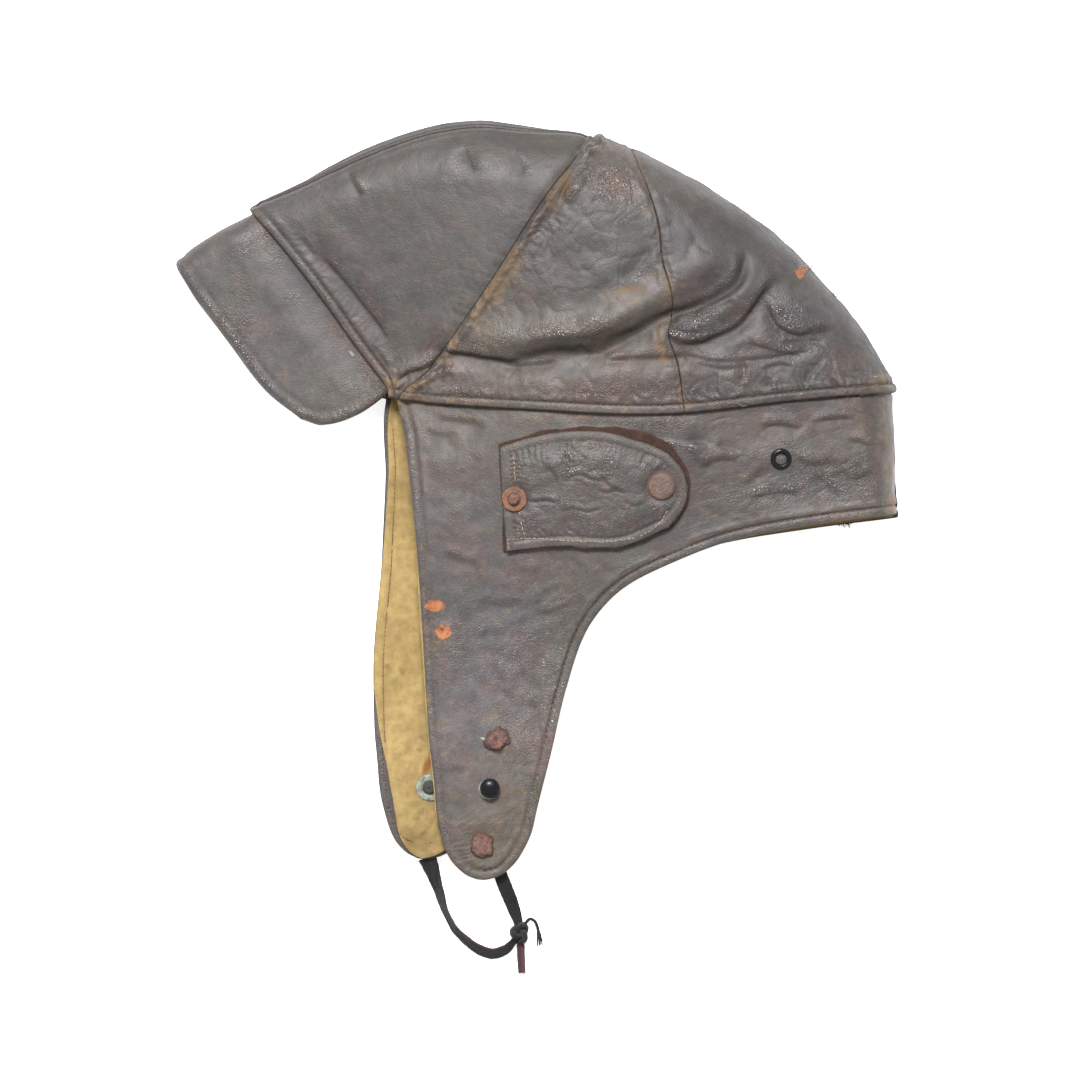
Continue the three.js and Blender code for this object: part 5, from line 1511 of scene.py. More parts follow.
def make_crown(name, side):
    c = CROWN[name]
    fine = 1.0 if side > 0 else 0.5
    cols = int(c["cols"] * fine)
    u0 = np.linspace(0, 1, cols)
    top = c["patch"](u0, np.zeros(cols))
    bottom = c["patch"](u0, np.ones(cols))
    reach = np.hypot(*(top - bottom).T)
    _, _, w = nearest_fold(top[:, 0], top[:, 1])
    lap = c["lap"](u0)
    turn, flat = int(32 * fine), int(108 * fine)
    # the middle and rear panels meet where the skin stands upright, so that a
    # little way in plan is a lot in height
    start = np.full(cols, 0.15 if name == "front" else 0.001)
    if name == "rear":
        start = start + 0.149 * smooth(u0, 0.78, 0.90)
    if side > 0:
        V = rows_from_fold(reach, w, lap + start, turn, flat)
        S = V
    else:
        V = rows_from_fold(reach, w, start, turn, flat)
        S = -V[:, ::-1]
        if name == "front":
            ups = np.linspace(0.12, 1, 7)
            over = ups[None, :] * np.maximum(0.02, (lap - 0.15))[:, None] / reach[:, None]
            S = np.concatenate([S, over], 1)
    m = S.shape[1]
    # width of each row, to cluster the columns at the seams
    vv = np.abs(S[cols // 2])
    ends = np.hypot(*(c["patch"](np.zeros(m), vv) - c["patch"](np.ones(m), vv)).T)
    U = spread(cols, ends).T  # cols x rows
    # rows are kept from the regular columns, by the nearest one
    Sfull = np.empty((cols, m))
    for j in range(m):
        Sfull[:, j] = np.interp(U[:, j], u0, S[:, j])
    XY = c["patch"](U, np.abs(Sfull))
    X, Y = XY[..., 0], XY[..., 1]
    SD = np.where(Sfull > 0, 1.0, -1.0)
    P = skin(X, Y, SD)
    relief, dirt, shine = crown_outer(name, X, Y, SD, P)
    # the top edge, by the way along the surface from it
    step = np.linalg.norm(np.diff(P, axis=1), axis=-1)
    from_start = np.concatenate([np.zeros((cols, 1)), np.cumsum(step, 1)], 1)
    if side > 0:
        e = from_start
    else:
        e = from_start[:, -1:] - from_start
    # painted shade along the seam at the top edge, and in the stitch groove on the lower front panel
    if name == "front":
        if side < 0:
            relief = relief + hem_profile(e, 1.0) * 0.9
            dirt = np.maximum(dirt, 0.7 * np.exp(-(((e - HEM_STITCH) / 0.5) ** 2)))
        else:
            relief = relief + seam_profile(e, 1.2)
            dirt = np.maximum(dirt, 0.8 * np.exp(-((e / 0.9) ** 2)))
    else:
        relief = relief + seam_profile(e, 1.0) * 0.8
        dirt = np.maximum(dirt, 0.6 * np.exp(-((e / 0.7) ** 2)))
    relief = np.maximum(relief, -1.8)
    at = wear(X, Y, SD, P)
    at["dirt"] = np.clip(dirt, 0, 1)
    at["gloss"] = np.clip(at["gloss"] + shine, 0, 1.2)
    if name == "front":
        own = smooth(seam_distance(X, Y, "slant")[0], 1.5, 7.0) * (SD > 0) + (SD < 0)
        at["tan"], at["orange"] = at["tan"] * own, at["orange"] * (0.3 + 0.7 * own)
    if name == "front" and side < 0:
        at["orange"] = at["orange"] + 1.1 * np.exp(-(((e - HEM_STITCH) / 0.55) ** 2)) * smooth(perlin(P, 7), -0.15, 0.2) * smooth(X, -64, -46) * (1 - smooth(X, -20, -8))
        at["red"] = np.clip(at["red"] + 0.3 * np.exp(-((e / 7) ** 2)), 0, 1)
        # darker along the top edge
        at["tone_and_painted_light"] = at["tone_and_painted_light"] - 0.25 * np.exp(-((e / 6) ** 2))
    obj = wall_object(f"crown_{name}_{'left' if side > 0 else 'right'}_leather", X, Y, SD, relief, -CROWN_WALL, at, [LEATHER, LINING])
    place(obj, "leather", f"crown_{name}_{'left' if side > 0 else 'right'}")
    return obj


for part in CROWN:
    for side in (1, -1):
        make_crown(part, side)


# ------------------------------------------------------------------ peak
def make_peak():
    tb = T[K_BROW] + 4.0 / fold_line.length
    patch = coons(fold_line.part(0, tb), along(PEAK_LOW), along(PEAK_FRONT), along(PEAK_BACK), 0)
    cols = 80
    u0 = np.linspace(0, 1, cols)
    top, bottom = patch(u0, np.zeros(cols)), patch(u0, np.ones(cols))
    reach = np.hypot(*(top - bottom).T)
    _, _, w = nearest_fold(top[:, 0], top[:, 1])
    V = rows_from_fold(reach, w, np.zeros(cols), 16, 56)
    S = np.concatenate([-V[:, :0:-1], V], 1)
    m = S.shape[1]
    vv = np.abs(S[cols // 2])
    ends = np.hypot(*(patch(np.zeros(m), vv) - patch(np.ones(m), vv)).T)
    U = spread(cols, ends).T
    Sf = np.stack([np.interp(U[:, j], u0, S[:, j]) for j in range(m)], 1)
    XY = patch(U, np.abs(Sf))
    X, Y = XY[..., 0], XY[..., 1]
    SD = np.where(Sf >= 0, 1.0, -1.0)
    P = skin(X, Y, SD)
    q = P + np.where(SD > 0, 0.0, 71.0)[..., None]
    d_front = to_polyline(X, Y, Curve(PEAK_FRONT).at(np.linspace(0, 1, 60)))[0]
    d_low = to_polyline(X, Y, Curve(PEAK_LOW).at(np.linspace(0, 1, 40)))[0]
    d = np.minimum(d_front, d_low)
    r = 1.5
    edge = np.where(d < r, -r + np.sqrt(np.maximum(0, r * r - (r - np.minimum(d, r)) ** 2)), 0)
    t_low = to_polyline(X, Y, Curve(PEAK_LOW).at(np.linspace(0, 1, 40)))[1]
    relief = (
        edge
        + 0.45 * np.exp(-(((d - 2.4) / 1.3) ** 2))
        - 0.22 * np.exp(-(((d - 5.0) / 1.2) ** 2))
        + 0.30 * fractal(q, 22, 2)
        + 0.10 * fractal(q + 7, 7, 2)
        + 0.16 * np.cos(2 * np.pi * t_low * 42 / 3.4 + 3 * perlin(P, 8)) * np.exp(-(((d_low - 3.4) / 1.6) ** 2))
    )
    d_fold = nearest_fold(X, Y)[0]
    at = wear(X, Y, SD, P)
    at["gloss"] = np.clip(at["gloss"] + 0.9 * np.exp(-(((d - 2.4) / 1.6) ** 2)) + 0.4 * smooth(fractal(q + 30, 18, 2), 0.1, 0.5), 0, 1.2)
    # painted shade along the peak's rolled edge and in the groove behind it
    at["dirt"] = np.clip(0.55 * np.exp(-((d / 0.9) ** 2)) + 0.3 * np.exp(-(((d - 4.6) / 0.8) ** 2)), 0, 1)
    base = peak_skin(X, Y)
    under = relief.copy()
    inner = base - PEAK_WALL + np.where(d < r, r - np.sqrt(np.maximum(0, r * r - (r - np.minimum(d, r)) ** 2)), 0)
    obj = wall_object("peak_leather", X, Y, SD, base + under, inner, at, [LEATHER])
    place(obj, "leather", "peak")


make_peak()


# ------------------------------------------------------------------ neck band, flaps, lining
def band_top(u):
    u = np.asarray(u, float)
    h = hem_line.at(0.016 + u * (1 - 0.016))
    lift = HEM_LAP * (1 - 0.35 * smooth(u, 0.9, 1))
    last = smooth(u, 0.95, 1)
    return np.stack([h[..., 0] - 0.3 * last, h[..., 1] + lift - 0.2 * last], -1)


band_patch = coons(band_top, along(NECK_EDGE), along(FLAP_FRONT), fold_line.part(T[K_HEM], 1), 0)


# How far inside the far flap's front edge its lining ends, down the flap
LINING_INSET = [
    (-45, 1.9),
    (-24, 0.6),
    (1, -0.1),
    (17, -0.6),
    (28, -1.2),
    (82, -1.2),
    (90, -0.3),
    (103, 1.1),
    (112, 2.2),
    (120, 3.2),
    (129, 3.7),
    (138, 2.7),
    (146, 1.3),
    (152, 0.2),
    (156, 0.0),
]


# folds of the far lining, in the photograph's frame, and how deep
LINING_FOLDS = [
    ([(402, 822), (408, 832), (417, 841), (424, 843)], 0.40),
    ([(437, 812), (431, 826), (420, 838), (410, 842)], 0.40),
    ([(404, 808), (412, 780), (420, 756), (427, 742)], 0.35),
    ([(398, 770), (406, 752), (418, 738)], 0.25),
    ([(412, 800), (420, 812), (430, 816)], 0.3),
    ([(420, 640), (425, 680), (421, 724)], 0.25),
    ([(402, 560), (408, 600), (406, 640)], 0.2),
]
LINING_RUST = [(427, 766, 4.5, 7, 1.0), (424, 774, 4, 5, 0.6), (430, 758, 3, 6, 0.5), (419, 640, 3, 10, 0.3), (424, 806, 6, 5, 0.35)]
LINING_SHADE = [
    (404, 440, 7, 46, 0.45),
    (412, 500, 6, 30, 0.3),
    (420, 600, 5, 40, 0.2),
    (424, 700, 5, 60, 0.2),
    (388, 470, 3, 40, -0.15),
    (425, 792, 16, 16, 0.35),
    (415, 840, 20, 12, 0.25),
]


def lining_patch(u, v):
    return band_patch(u + 0.006 * (1 - u) ** 2, v * 0.988)


def band_grid(patch, cols, rows, back):
    """Columns close together at the front edge and where the band turns at the
    back, rows close together at the neck edge."""
    v0 = np.concatenate([np.linspace(0.001, 0.86, int(rows * 0.66), endpoint=False), np.linspace(0.86, 1, rows - int(rows * 0.66))])
    width = np.hypot(*(patch(np.zeros(len(v0)), v0) - patch(np.ones(len(v0)), v0)).T)
    head = CLUSTER[None, :] / width[:, None]
    w = 12.0 / width[:, None]
    th = np.linspace(np.pi / 2, 0.06, back)[None, :]
    tail = 1 - w * (1 - np.cos(th))
    n = cols - head.shape[1] - back
    f = np.linspace(0, 1, n + 2)[1:-1][None, :]
    mid = head[:, -1:] + f * (tail[:, :1] - head[:, -1:])
    U = np.concatenate([head, mid, tail], 1).T
    V0 = np.broadcast_to(v0[None, :], U.shape)
    # close the rows up against the neck edge by true distance
    top, bottom = patch(U[:, -1], np.full(cols, 0.86)), patch(U[:, -1], np.ones(cols))
    near = np.hypot(*(top - bottom).T) / 0.14
    k = len(CLUSTER)
    V = np.array(V0)
    tail_v = 1 - (CLUSTER[None, :] / near[:, None])[:, ::-1]
    base = V[:, : -k]
    cap = tail_v[:, :1]
    scale = (cap - 0.001) / base[:, -1:]
    V = np.concatenate([base * np.minimum(1, scale * 0.995), tail_v], 1)
    return U, V


def band_outer(X, Y, side, P):
    relief, dirt, shine = common_relief(X, Y, side, P)
    d1, t1, _ = seam_distance(X, Y, "front")
    d2, t2, _ = seam_distance(X, Y, "neck")
    d = np.minimum(d1, d2)
    relief = relief * smooth(d, 0, 5) + hem_profile(d, 0.8) + 0.14 * puckers(d1, t1, 205, P) + 0.18 * puckers(d2, t2, 250, P)
    shine = np.maximum(shine, 0.5 * np.exp(-(((d - 1.9) / 1.3) ** 2)))
    # painted shade in the stitch groove and along the turned edge
    dirt = np.maximum(dirt, 0.55 * np.exp(-(((d - HEM_STITCH) / 0.45) ** 2)))
    dirt = np.maximum(dirt, 0.5 * np.exp(-((d / 0.6) ** 2)))
    below = below_hem(X, Y)
    # painted shadow under the crown's hem
    dirt = np.maximum(dirt, 0.6 * np.exp(-((np.maximum(0, below) / 1.1) ** 2)))
    # flat under the ear cover
    inside = smooth(X, -22, -16) * (1 - smooth(X, 60, 66)) * smooth(Y, -26, -20) * (1 - smooth(Y, 27, 32))
    relief = relief * (1 - 0.9 * inside)
    # nothing stands proud under the crown's hem
    relief = np.where(below < 1.0, np.minimum(relief, 0.25), relief)
    return np.clip(relief, -1.25, 2.2), dirt, shine


def make_band(side):
    tag = "left" if side > 0 else "right"
    U, V = band_grid(band_patch, 215 if side > 0 else 110, 205 if side > 0 else 100, 22)
    XY = band_patch(U, V)
    X, Y = XY[..., 0], XY[..., 1]
    SD = np.full(X.shape, float(side))
    P = skin(X, Y, SD)
    relief, dirt, shine = band_outer(X, Y, SD, P)
    base = band_skin(X, Y)
    at = wear(X, Y, SD, P)
    at["dirt"] = np.clip(dirt, 0, 1)
    at["gloss"] = np.clip(at["gloss"] + shine, 0, 1.2)
    obj = wall_object(f"neck_band_{tag}_leather", X, Y, SD, base + relief, base - BAND_WALL, at, [LEATHER])
    place(obj, "leather", f"neck_band_{tag}")

    U, V = band_grid(lining_patch, 100 if side > 0 else 150, 90 if side > 0 else 130, 16)
    XY = lining_patch(U, V)
    X, Y = XY[..., 0], XY[..., 1]
    if side > 0:
        # it shows a little past the leather down the front of the flap
        d = seam_distance(X, Y, "front")[0]
        X = X - 2.9 * smooth(-Y, 14, 34) * (1 - smooth(-Y, 128, 146)) * np.exp(-d / 4.0)
    else:
        d = seam_distance(X, Y, "front")[0]
        inset = np.interp(-Y, [k for k, _ in LINING_INSET], [v for _, v in LINING_INSET])
        X = X + inset * np.exp(-d / 14.0)
    SD = np.full(X.shape, float(side))
    P = skin(X, Y, SD)
    d1 = seam_distance(X, Y, "front")[0]
    d2 = seam_distance(X, Y, "neck")[0]
    d = np.minimum(d1, d2)
    q = P + (0 if side > 0 else 71)
    soft = 0.35 * fractal(q, 16, 3) + 0.10 * fractal(q + 3, 5, 2)
    inward = soft + 0.35 * np.exp(-(((d - 2.2) / 1.2) ** 2)) - 0.35 * np.exp(-(((d - 4.1) / 0.5) ** 2))
    rust = 0 * X
    shade = 0 * X
    if side < 0:
        # its folds and stains, and shade painted in the folds and along the near flap's edge, where it shows beside the
        # near flap
        for line, deep in LINING_FOLDS:
            k = to_polyline(P[..., 0], P[..., 1], Curve(px(*line)).at(np.linspace(0, 1, 24)))
            fade = smooth(k[1], 0, 0.2) * (1 - smooth(k[1], 0.8, 1))
            inward = inward - fade * deep * np.exp(-((k[0] / 0.8) ** 2)) + fade * 0.7 * deep * np.exp(-(((k[0] * k[2] - 1.9) / 1.3) ** 2))
            shade = np.maximum(shade, 0.55 * deep * fade * np.exp(-((k[0] / 0.8) ** 2)))
        rust = charted(P[..., 0], P[..., 1], LINING_RUST)
        shade = shade + charted(P[..., 0], P[..., 1], LINING_SHADE)
    off = band_skin(X, Y) - BAND_WALL - GAP
    # painted shade in the stitch groove, with real stains; darker towards the tip and near the neck edge at the back
    dirt = np.clip(shade + 0.22 * np.exp(-(((d - 4.1) / 0.6) ** 2)) + 0.22 * smooth(-Y, 128, 155) + 0.8 * smooth(X, 60, 100) * smooth(Y, -40, -8) * np.exp(-d2 / 6) + 0.25 * smooth(fractal(q + 20, 20, 3), 0.25, 0.7), 0, 1)
    obj = wall_object(f"lining_{tag}_cloth", X, Y, SD, off, off - LINING_WALL - np.clip(inward, -0.5, 0.7), {"dirt": dirt, "rust": rust}, [LINING])
    place(obj, "lining", f"lining_{tag}")


for side in (1, -1):
    make_band(side)


# ------------------------------------------------------------------ stitches
def resample(pts, spacing, start=1.0):
    seg = np.hypot(*np.diff(pts[:, :2], axis=0).T)
    s = np.concatenate([[0], np.cumsum(seg)])
    t = np.arange(start, s[-1] - start, spacing)
    xy = np.stack([np.interp(t, s, pts[:, 0]), np.interp(t, s, pts[:, 1])], 1)
    d = np.stack([np.interp(t + 0.3, s, pts[:, 0]), np.interp(t + 0.3, s, pts[:, 1])], 1) - xy
    d /= np.maximum(1e-6, np.hypot(*d.T))[:, None]
    return xy, d


def offset_line(pts, by):
    """The line moved to its left by a distance."""
    d = np.gradient(pts[:, :2], axis=0)
    d /= np.maximum(1e-6, np.hypot(*d.T))[:, None]
    return pts[:, :2] + by * np.stack([-d[:, 1], d[:, 0]], 1)


def stitches(bag, pts, side, off, spacing=2.4, length=1.65, r=0.30, proud=0.12, rng=None, lost=0.0, **attrs):
    """Thread along a plan line, in short arcs that dip into the leather."""
    rng = rng or RNG
    xy, d = resample(pts, spacing)
    keep = rng.rand(len(xy)) >= lost
    xy, d = xy[keep], d[keep]
    if not len(xy):
        return
    xy = xy + rng.normal(0, 0.10, xy.shape)
    ang = rng.normal(0, 0.10, len(xy))
    c, s = np.cos(ang), np.sin(ang)
    d = np.stack([d[:, 0] * c - d[:, 1] * s, d[:, 0] * s + d[:, 1] * c], 1)
    L = length * (1 + rng.normal(0, 0.08, len(xy)))
    f = np.array([-0.5, -0.36, 0.0, 0.36, 0.5])
    h = np.array([-0.55, 0.0, proud, 0.0, -0.55])
    Q = xy[:, None] + f[None, :, None] * (L[:, None, None] * d[:, None])
    P, N = skin_frame(Q[..., 0], Q[..., 1], float(side))
    o = off(Q[..., 0], Q[..., 1], P)
    C = P + N * (o + h[None])[..., None]
    T = np.gradient(C, axis=1)
    T /= np.linalg.norm(T, axis=-1)[..., None]
    S = np.cross(N, T)
    S /= np.maximum(1e-9, np.linalg.norm(S, axis=-1))[..., None]
    U = np.cross(T, S)
    q = 2 * np.pi * np.arange(6) / 6
    rad = r * np.array([0.55, 1, 1, 1, 0.55])
    ring = rad[None, :, None, None] * (np.cos(q)[None, None, :, None] * S[:, :, None] + 0.8 * np.sin(q)[None, None, :, None] * U[:, :, None])
    V = C[:, :, None] + ring
    for k in range(len(V)):
        bag.grid(V[k], **attrs)


def crown_side_relief(name, side):
    def off(x, y, P):
        return crown_outer(name, x, y, np.full(x.shape, float(side)), P)[0]

    return off


def band_side_relief(side):
    def off(x, y, P):
        return band_skin(x, y) + band_outer(x, y, np.full(x.shape, float(side)), P)[0]

    return off


def thread_material(name, colour, dark):
    mat, nt, bsdf = nodes_of(name)
    m = Maker(nt)
    col = m.mix(m.step(m.noise(700, 3, 0.6), 0.35, 0.65), colour, dark)
    m.link(col, bsdf.inputs["Base Color"])
    bsdf.inputs["Roughness"].default_value = 0.85
    bsdf.inputs["Specular IOR Level"].default_value = 0.25
    m.link(m.bump(m.noise(5000, 2, 0.6), 0.5, 0.0001), bsdf.inputs["Normal"])
    return mat


BROWN_THREAD = thread_material("brown_thread", (0.085, 0.048, 0.028), (0.040, 0.024, 0.018))
ORANGE_THREAD = thread_material("orange_thread", (0.115, 0.068, 0.042), (0.05, 0.032, 0.023))
TAN_THREAD = thread_material("tan_thread", (0.20, 0.125, 0.075), (0.10, 0.062, 0.042))
RED_THREAD = thread_material("red_brown_thread", (0.24, 0.105, 0.065), (0.11, 0.05, 0.034))
CREAM_THREAD = thread_material("cream_thread", (0.36, 0.29, 0.20), (0.22, 0.165, 0.11))
LINING_THREAD = thread_material("ochre_thread", (0.21, 0.13, 0.055), (0.14, 0.08, 0.035))


LOOSE = [
    ([(726, 405), (731, 403.5), (736, 404.5), (741, 406.5), (746, 406)], 0.14),
    ([(828, 296), (833, 294), (838, 297)], 0.12),
    ([(799, 255), (804, 254), (808, 257), (807, 261)], 0.12),
]


PALE_TUFT = [
    [(799, 271), (804, 268), (809, 267), (812, 269)],
    [(800, 269), (805, 264), (808, 263)],
    [(801, 272), (806, 271), (811, 266), (810, 262)],
    [(798, 268), (803, 270), (808, 272)],
    [(803, 266), (807, 269), (813, 265)],
]


def make_stitches():
    for side, tag in ((1, "left"), (-1, "right")):
        bag, faded = Bag(), Bag()
        hem = hem_line.at(np.linspace(0.012, 0.985, 200))[:, :2]
        hem = offset_line(hem, HEM_STITCH)
        for name, lo, hi in (("front", -59, -52), ("middle", -50.5, 58.5), ("rear", 61.0, 143)):
            part = hem[(hem[:, 0] > lo) & (hem[:, 0] < hi)]
            if len(part) < 4:
                continue
            use = faded if name == "rear" else bag
            stitches(use, part, side, crown_side_relief(name, side), lost=0.06)
        brow = offset_line(SEAMS["brow"][1:-1], HEM_STITCH)
        stitches(bag, brow, side, crown_side_relief("front", side), lost=0.08)
        place(bag.make(f"crown_stitches_{tag}", [BROWN_THREAD]), "leather")
        place(faded.make(f"rear_stitches_{tag}", [ORANGE_THREAD]), "leather")
        bag = Bag()
        front = offset_line(SEAMS["front"], HEM_STITCH)
        front = front[front[:, 1] < 33]
        neck = offset_line(SEAMS["neck"], HEM_STITCH)
        neck = neck[neck[:, 0] < 141]
        stitches(bag, front, side, band_side_relief(side), lost=0.05)
        place(bag.make(f"band_stitches_{tag}", [TAN_THREAD]), "leather")
        bag = Bag()
        stitches(bag, neck, side, band_side_relief(side), lost=0.05)
        place(bag.make(f"neck_stitches_{tag}", [BROWN_THREAD]), "leather")
    # the far lining's own stitch lines, seen on its inner face
    bag = Bag()

    def inner(x, y, P):
        return -(band_skin(x, y) - BAND_WALL - GAP - LINING_WALL - 0.05)

    front = offset_line(SEAMS["front"], 4.1)
    front = front[(front[:, 1] < 30) & (front[:, 1] > -107)]
    low = Curve([(-31.5, -143.6), (-29.7, -145.6), (-23.6, -147.9), (-19.0, -147.4)]).at(np.linspace(0, 1, 40))[:, :2]
    xy, d = (np.concatenate(k) for k in zip(resample(front, 1.9, 0.2), resample(low, 1.9, 0.2)))
    P, N = skin_frame(xy[:, 0], xy[:, 1], -1.0)
    for k in range(len(xy)):
        if RNG.rand() < 0.08:
            continue
        f = np.array([-0.5, -0.3, 0.0, 0.3, 0.5])
        Q = xy[k] + f[:, None] * 1.6 * d[k]
        A, B = skin_frame(Q[:, 0], Q[:, 1], -1.0)
        depth = band_skin(Q[:, 0], Q[:, 1]) - BAND_WALL - GAP - LINING_WALL
        C = A + B * (depth + np.array([0.25, 0.0, -0.12, 0.0, 0.25]))[:, None]
        bag.tube(C, 0.22, 5)
    place(bag.make("lining_stitches", [LINING_THREAD]), "lining")
    bag = Bag()
    front = offset_line(SEAMS["front"], 2.4)
    front = front[(front[:, 1] < -104) & (front[:, 1] > -147)]
    xy, d = resample(front, 2.3)
    for k in range(len(xy)):
        Q = xy[k] + np.array([-0.5, -0.3, 0.0, 0.3, 0.5])[:, None] * 1.5 * d[k]
        A, B = skin_frame(Q[:, 0], Q[:, 1], -1.0)
        depth = band_skin(Q[:, 0], Q[:, 1]) - BAND_WALL
        C = A + B * (depth + np.array([0.25, 0.0, -0.15, 0.0, 0.25]))[:, None]
        bag.tube(C, 0.26, 5)
    place(bag.make("far_flap_stitches", [ORANGE_THREAD]), "leather")
    # a few threads that have come loose, and a torn end at the neck
    bag = Bag()
    for line, r in LOOSE:
        xy = Curve(px(*line)).at(np.linspace(0, 1, 24))[:, :2]
        P, N = skin_frame(xy[:, 0], xy[:, 1], 1.0)
        bag.tube(P + N * 0.9, r, 6)
    place(bag.make("loose_threads", [TAN_THREAD]), "leather")
    bag = Bag()
    rng = np.random.RandomState(21)
    a = px((838, 521.5))[0]
    b = px((854, 520.0))[0]
    t = np.clip(rng.normal(0.5, 0.22, 140), 0, 1)[:, None]
    xy = a + t * (b - a) + rng.normal(0, 0.35, (140, 2))
    P, N = skin_frame(xy[:, 0], xy[:, 1] + 1.2, -1.0)
    P[:, :2] = xy
    strands(bag, P - N * 1.0, np.array([0.2, -0.2, 0.1]), 300, 0.75, 0.17, 1.5, rng)
    place(bag.make("torn_end", [RED_THREAD]), "leather")
    bag = Bag()
    for line in PALE_TUFT:
        xy = Curve(px(*line)).at(np.linspace(0, 1, 16))[:, :2]
        P, N = skin_frame(xy[:, 0], xy[:, 1], 1.0)
        bag.tube(P + N * (0.5 + 0.8 * np.sin(np.linspace(0, 3, 16)))[:, None], 0.09, 5)
    place(bag.make("pale_tuft", [CREAM_THREAD]), "leather")


make_stitches()


# ------------------------------------------------------------------ ear covers
def shifted(f, dx, dy):
    def g(u):
        p = f(u)[..., :2]
        return np.stack([p[..., 0] + dx, p[..., 1] + dy], -1)

    return g


def cover_patch(grow):
    right = along(COVER_RIGHT)

    def left(v):
        v = np.asarray(v, float)
        return np.stack([-15.8 + 2.5 * v + grow, 21.3 - 42.6 * v + grow * (1 - v)], -1)

    def right_edge(v):
        v = np.asarray(v, float)
        p = right(v)
        return np.stack([p[..., 0] + grow, p[..., 1] + grow * (1 - v)], -1)

    return coons(shifted(along(COVER_TOP), grow, grow), shifted(along(COVER_BOTTOM), grow, 0), left, right_edge, 0)


def outline(patch, n=60):
    t = np.linspace(0, 1, n)
    o, z = np.ones(n), np.zeros(n)
    return np.concatenate([patch(t, z), patch(o, t)[1:], patch(t, o)[::-1][1:], patch(z, t)[::-1][1:]])


def nudged(x, y, grow):
    """The left edge: the base shows a little past the top ply."""
    inside = np.maximum(0, x - (-15.8 + grow + 2.5 * (21.3 - y) / 42.6))
    top = smooth(y, 4, 18)
    up = 1.3 * np.exp(-(((x - 48) / 11) ** 2)) if grow else -1.4 * np.exp(-(((x - 41) / 11) ** 2))
    return x + (-1.6 if grow else 1.1) * np.exp(-inside / 4.0), y + up * top


COVER_CREASES = [
    ([(524, 497), (534, 501), (546, 500), (560, 503)], 0.5, 0.6),
    ([(566, 478), (580, 474), (590, 478), (604, 481)], 0.4, 0.6),
    ([(596, 488), (606, 492), (616, 490), (626, 493)], 0.35, 0.6),
    ([(600, 473), (608, 484), (618, 489)], 0.3, 0.5),
    ([(560, 512), (574, 508), (588, 511), (604, 507)], 0.35, 0.6),
    ([(563, 452), (568, 458), (575, 463)], 0.5, 0.5),
    ([(548, 466), (556, 476), (558, 486)], 0.25, 0.6),
    ([(622, 500), (634, 505), (644, 502)], 0.3, 0.5),
]


